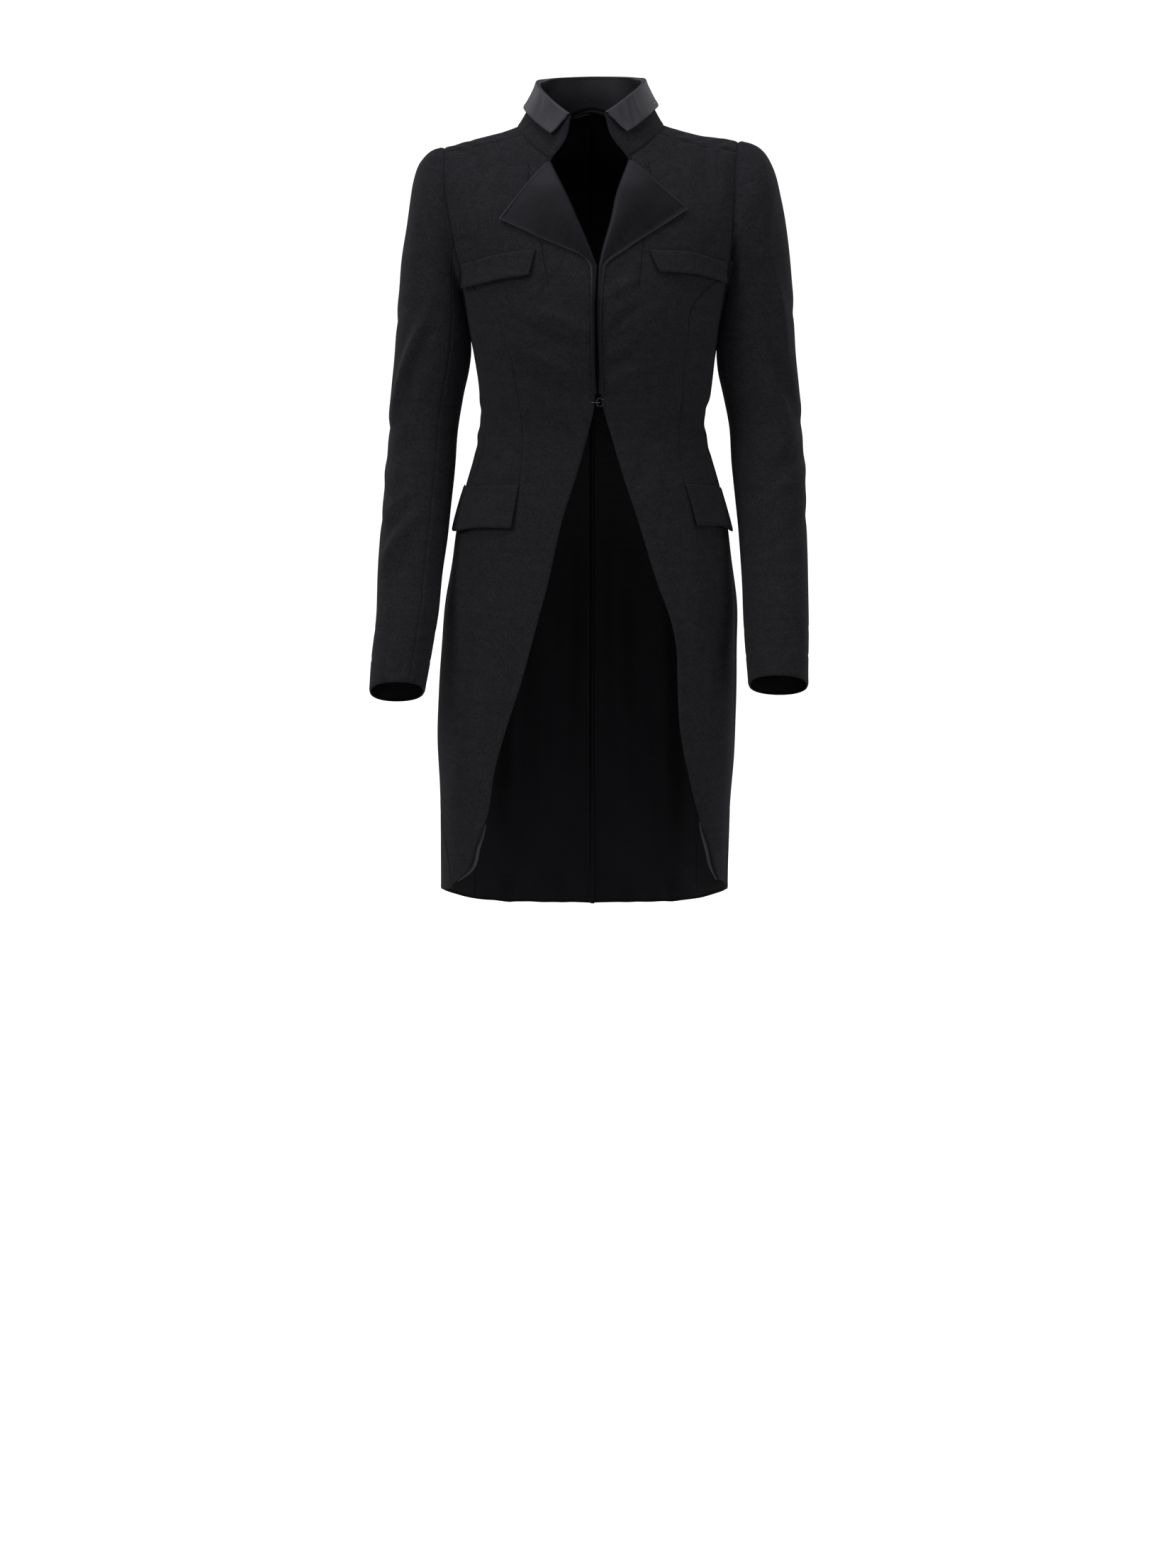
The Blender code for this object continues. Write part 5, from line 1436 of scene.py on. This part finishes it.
# the sewn upper edge and the lower edge, in front view
chestCuts = {leftSide: """
0 635 -1261 704 -1549
0.5 1040 -1320 1080 -1620
1 1460 -1455 1455 -1738
""", rightSide: """
0 660 -1268 770 -1514
0.5 1130 -1300 1180 -1560
1 1530 -1440 1525 -1675
"""}
hipCuts = {leftSide: """
0 834 -3996 912 -4494
0.5 1210 -4035 1310 -4530
1 1478 -4115 1588 -4640
""", rightSide: """
0 1085 -3999 1212 -4494
0.5 1340 -4050 1480 -4540
1 1500 -4120 1610 -4650
"""}


def flap(name, node, side, cut):
    # straight runs from the sewn upper edge to the lower edge, which stands off the cloth
    s = np.concatenate([[0, 0.006, 0.016], np.sin(np.linspace(0.03, 1, 44) * np.pi / 2)])
    share = np.concatenate([[0, 0.02, 0.05], np.linspace(0.09, 0.91, 16), [0.95, 0.98, 1]])
    upper, lower = [placeAt(side, read(cut, end + "X", s), read(cut, end + "Z", s)) for end in ("up", "low")]
    turn, drop = [places.T for places in between(upper, lower, share)]
    lift = flapForm["gap"] + flapForm["wall"] + flapForm["standOff"] * share[:, None] ** 1.5
    points, normals = clothSurface(side, turn, drop, lift)
    points = points + normals * edgeDip(fromEdges(points), flapEdge)[..., None]
    clothPiece(name, node, side, points, normals, held="laid", restsOn=[sided("frontPanel", side)])


for name, node, cuts in (("chestFlap", "chest_flap", chestCuts), ("hipFlap", "hip_flap", hipCuts)):
    for side in sideNames:
        flap(name, node, side, table("s upX upZ lowX lowZ", cuts[side], "s"))


# Hook and eye.
wireForm = {"radius": 0.0005, "gap": 0.0004, "inset": 0.0006, "clear": 0.0003}


def onCloth(side, x, z):
    # depth of a wire that lies on the cloth at this place, kept inside the front edge
    edge = side * read(frontEdge, side, z) + wireForm["inset"]
    cloth = clothSurface(side, *placeAt(side, np.maximum(side * x, edge), z))[0]
    return float(cloth[..., 1] - wireForm["radius"] - wireForm["gap"])


def wirePiece(name, node, knots):
    # circle carried along a smooth path, drawn in to a round tip at both ends
    radius = wireForm["radius"]
    at = np.linspace(0, len(knots) - 1, 90)
    path = [smoothCurve(np.arange(len(knots)), column, at) for column in np.array(knots, float).T]
    path = np.stack(path, -1)
    tangent = unit(np.gradient(path, axis=0))
    across = unit(np.cross(tangent, np.array([0.05, 1, 0.02])))
    third = np.cross(tangent, across)
    length = arcs(path[:, None], 0)[:, 0]
    toEnd = np.minimum(length, length[-1] - length)
    size = radius * np.sqrt(np.clip(1 - (1 - np.clip(toEnd / radius, 0.02, 1)) ** 2, 0, 1))
    angle = np.linspace(0, 2 * np.pi, 13)[:, None]
    ring = np.cos(angle) * across[:, None] + np.sin(angle) * third[:, None]
    made = gridMesh(name, path[:, None] + ring * size[:, None, None], ring)[0]
    made.modifiers.new("weld", "WELD").merge_threshold = 0.00002
    finishPiece(made, node, [metal])


def hookAndEye():
    leftX, rightX = [float(read(frontEdge, side, hookZ)) for side in sideNames]
    middleX = (leftX + rightX) / 2
    half = [(rightX + 0.0026, 0.0030), (rightX + 0.0010, 0.0034), (rightX - 0.0010, 0.0047),
            (middleX + 0.0008, 0.0048), (middleX - 0.0008, 0.0036), (middleX - 0.0017, 0.0018)]
    path = half + [(middleX - 0.0020, 0)] + [(x, -z) for x, z in half[::-1]]
    eye = [(x, onCloth(rightSide, x, hookZ + z), hookZ + z) for x, z in path]
    wirePiece("eyeLoop", "eye", eye)
    eyeY = eye[len(half)][1]
    frontY = eyeY - 2 * wireForm["radius"] - wireForm["clear"]
    leftY = onCloth(leftSide, leftX - 0.0030, hookZ)
    hook = [(leftX - 0.0042, leftY), (leftX - 0.0014, leftY), (middleX - 0.0036, (leftY + frontY) / 2),
            (middleX - 0.0021, frontY), (middleX - 0.0002, frontY), (middleX + 0.0010, frontY + 0.0005),
            (middleX + 0.0015, eyeY - 0.0002), (middleX + 0.0011, eyeY + 0.0010)]
    wirePiece("hookWire", "hook", [(x, y, hookZ) for x, y in hook])


hookAndEye()
print("collar, lapels, flaps and fastening made")


# Floor, light and camera.
stageForm = {"floorZ": -1.54, "floorSize": 90.0, "floorColour": (0.80, 0.80, 0.80, 1), "world": 0.15}
cameraForm = {"lens": 108.1, "place": (-0.00375, -5.5, 0.30), "tilt": 11}
# place, aim, size and power of each lamp
lightTable = {"keyLight": ((-3.2, -2.4, 2.4), (0, 0, -0.35), (1.6, 2.4), 125),
              "fillLight": ((3.6, -2.2, 0.8), (0, 0, -0.40), (1.6, 2.6), 55),
              "topLight": ((-0.3, -0.9, 3.2), (0, 0, -0.1), (2.6, 1.6), 85),
              "rimLight": ((2.6, 2.6, 1.2), (0, 0, -0.4), (1.2, 2.4), 32),
              "backLight": ((-2.6, 2.6, 1.4), (0, 0, -0.4), (1.2, 2.4), 32)}


def makeStage():
    # the paper and the air behind it are seen as plain white, and light the coat more softly
    size, z, white = stageForm["floorSize"] / 2, stageForm["floorZ"], (1, 1, 1, 1)
    mesh = bpy.data.meshes.new("floor")
    corners = [(-size, -size, z), (size, -size, z), (size, size, z), (-size, size, z)]
    mesh.from_pydata(corners, [], [(0, 1, 2, 3)])
    paper, tree, shader = newMaterial("whitePaper")
    seen = addNode(tree, "LightPath").outputs["Is Camera Ray"]
    setInputs(tree, shader, Base_Color=stageForm["floorColour"], Roughness=0.9, Emission_Strength=seen,
              Emission_Color=white)
    mesh.materials.append(paper)
    newObject("floor", mesh)
    world = bpy.data.worlds.new("studio")
    world.use_nodes = True
    air = world.node_tree
    seen = addNode(air, "LightPath").outputs["Is Camera Ray"]
    strength = valueRange(air, seen, stageForm["world"], 1.0)
    setInputs(air, air.nodes["Background"], Strength=strength, Color=white)
    bpy.context.scene.world = world


def makeLights():
    for name, (place, aim, size, power) in lightTable.items():
        data = bpy.data.lights.new(name, "AREA")
        data.shape, data.size, data.size_y, data.energy = "RECTANGLE", *size, power
        lamp = newObject(name, data)
        lamp.location = place
        lamp.rotation_euler = (Vector(aim) - Vector(place)).to_track_quat("-Z", "Y").to_euler()


def makeCamera():
    data = bpy.data.cameras.new("camera")
    data.lens, data.sensor_width, data.sensor_fit, data.clip_end = cameraForm["lens"], 36.0, "AUTO", 200.0
    camera = newObject("camera", data)
    camera.location = cameraForm["place"]
    camera.rotation_euler = (math.radians(90 - cameraForm["tilt"]), 0, 0)
    bpy.context.scene.camera = camera


makeStage()
makeLights()
makeCamera()
bpy.context.scene.view_settings.view_transform = "Standard"

print("scene ready")
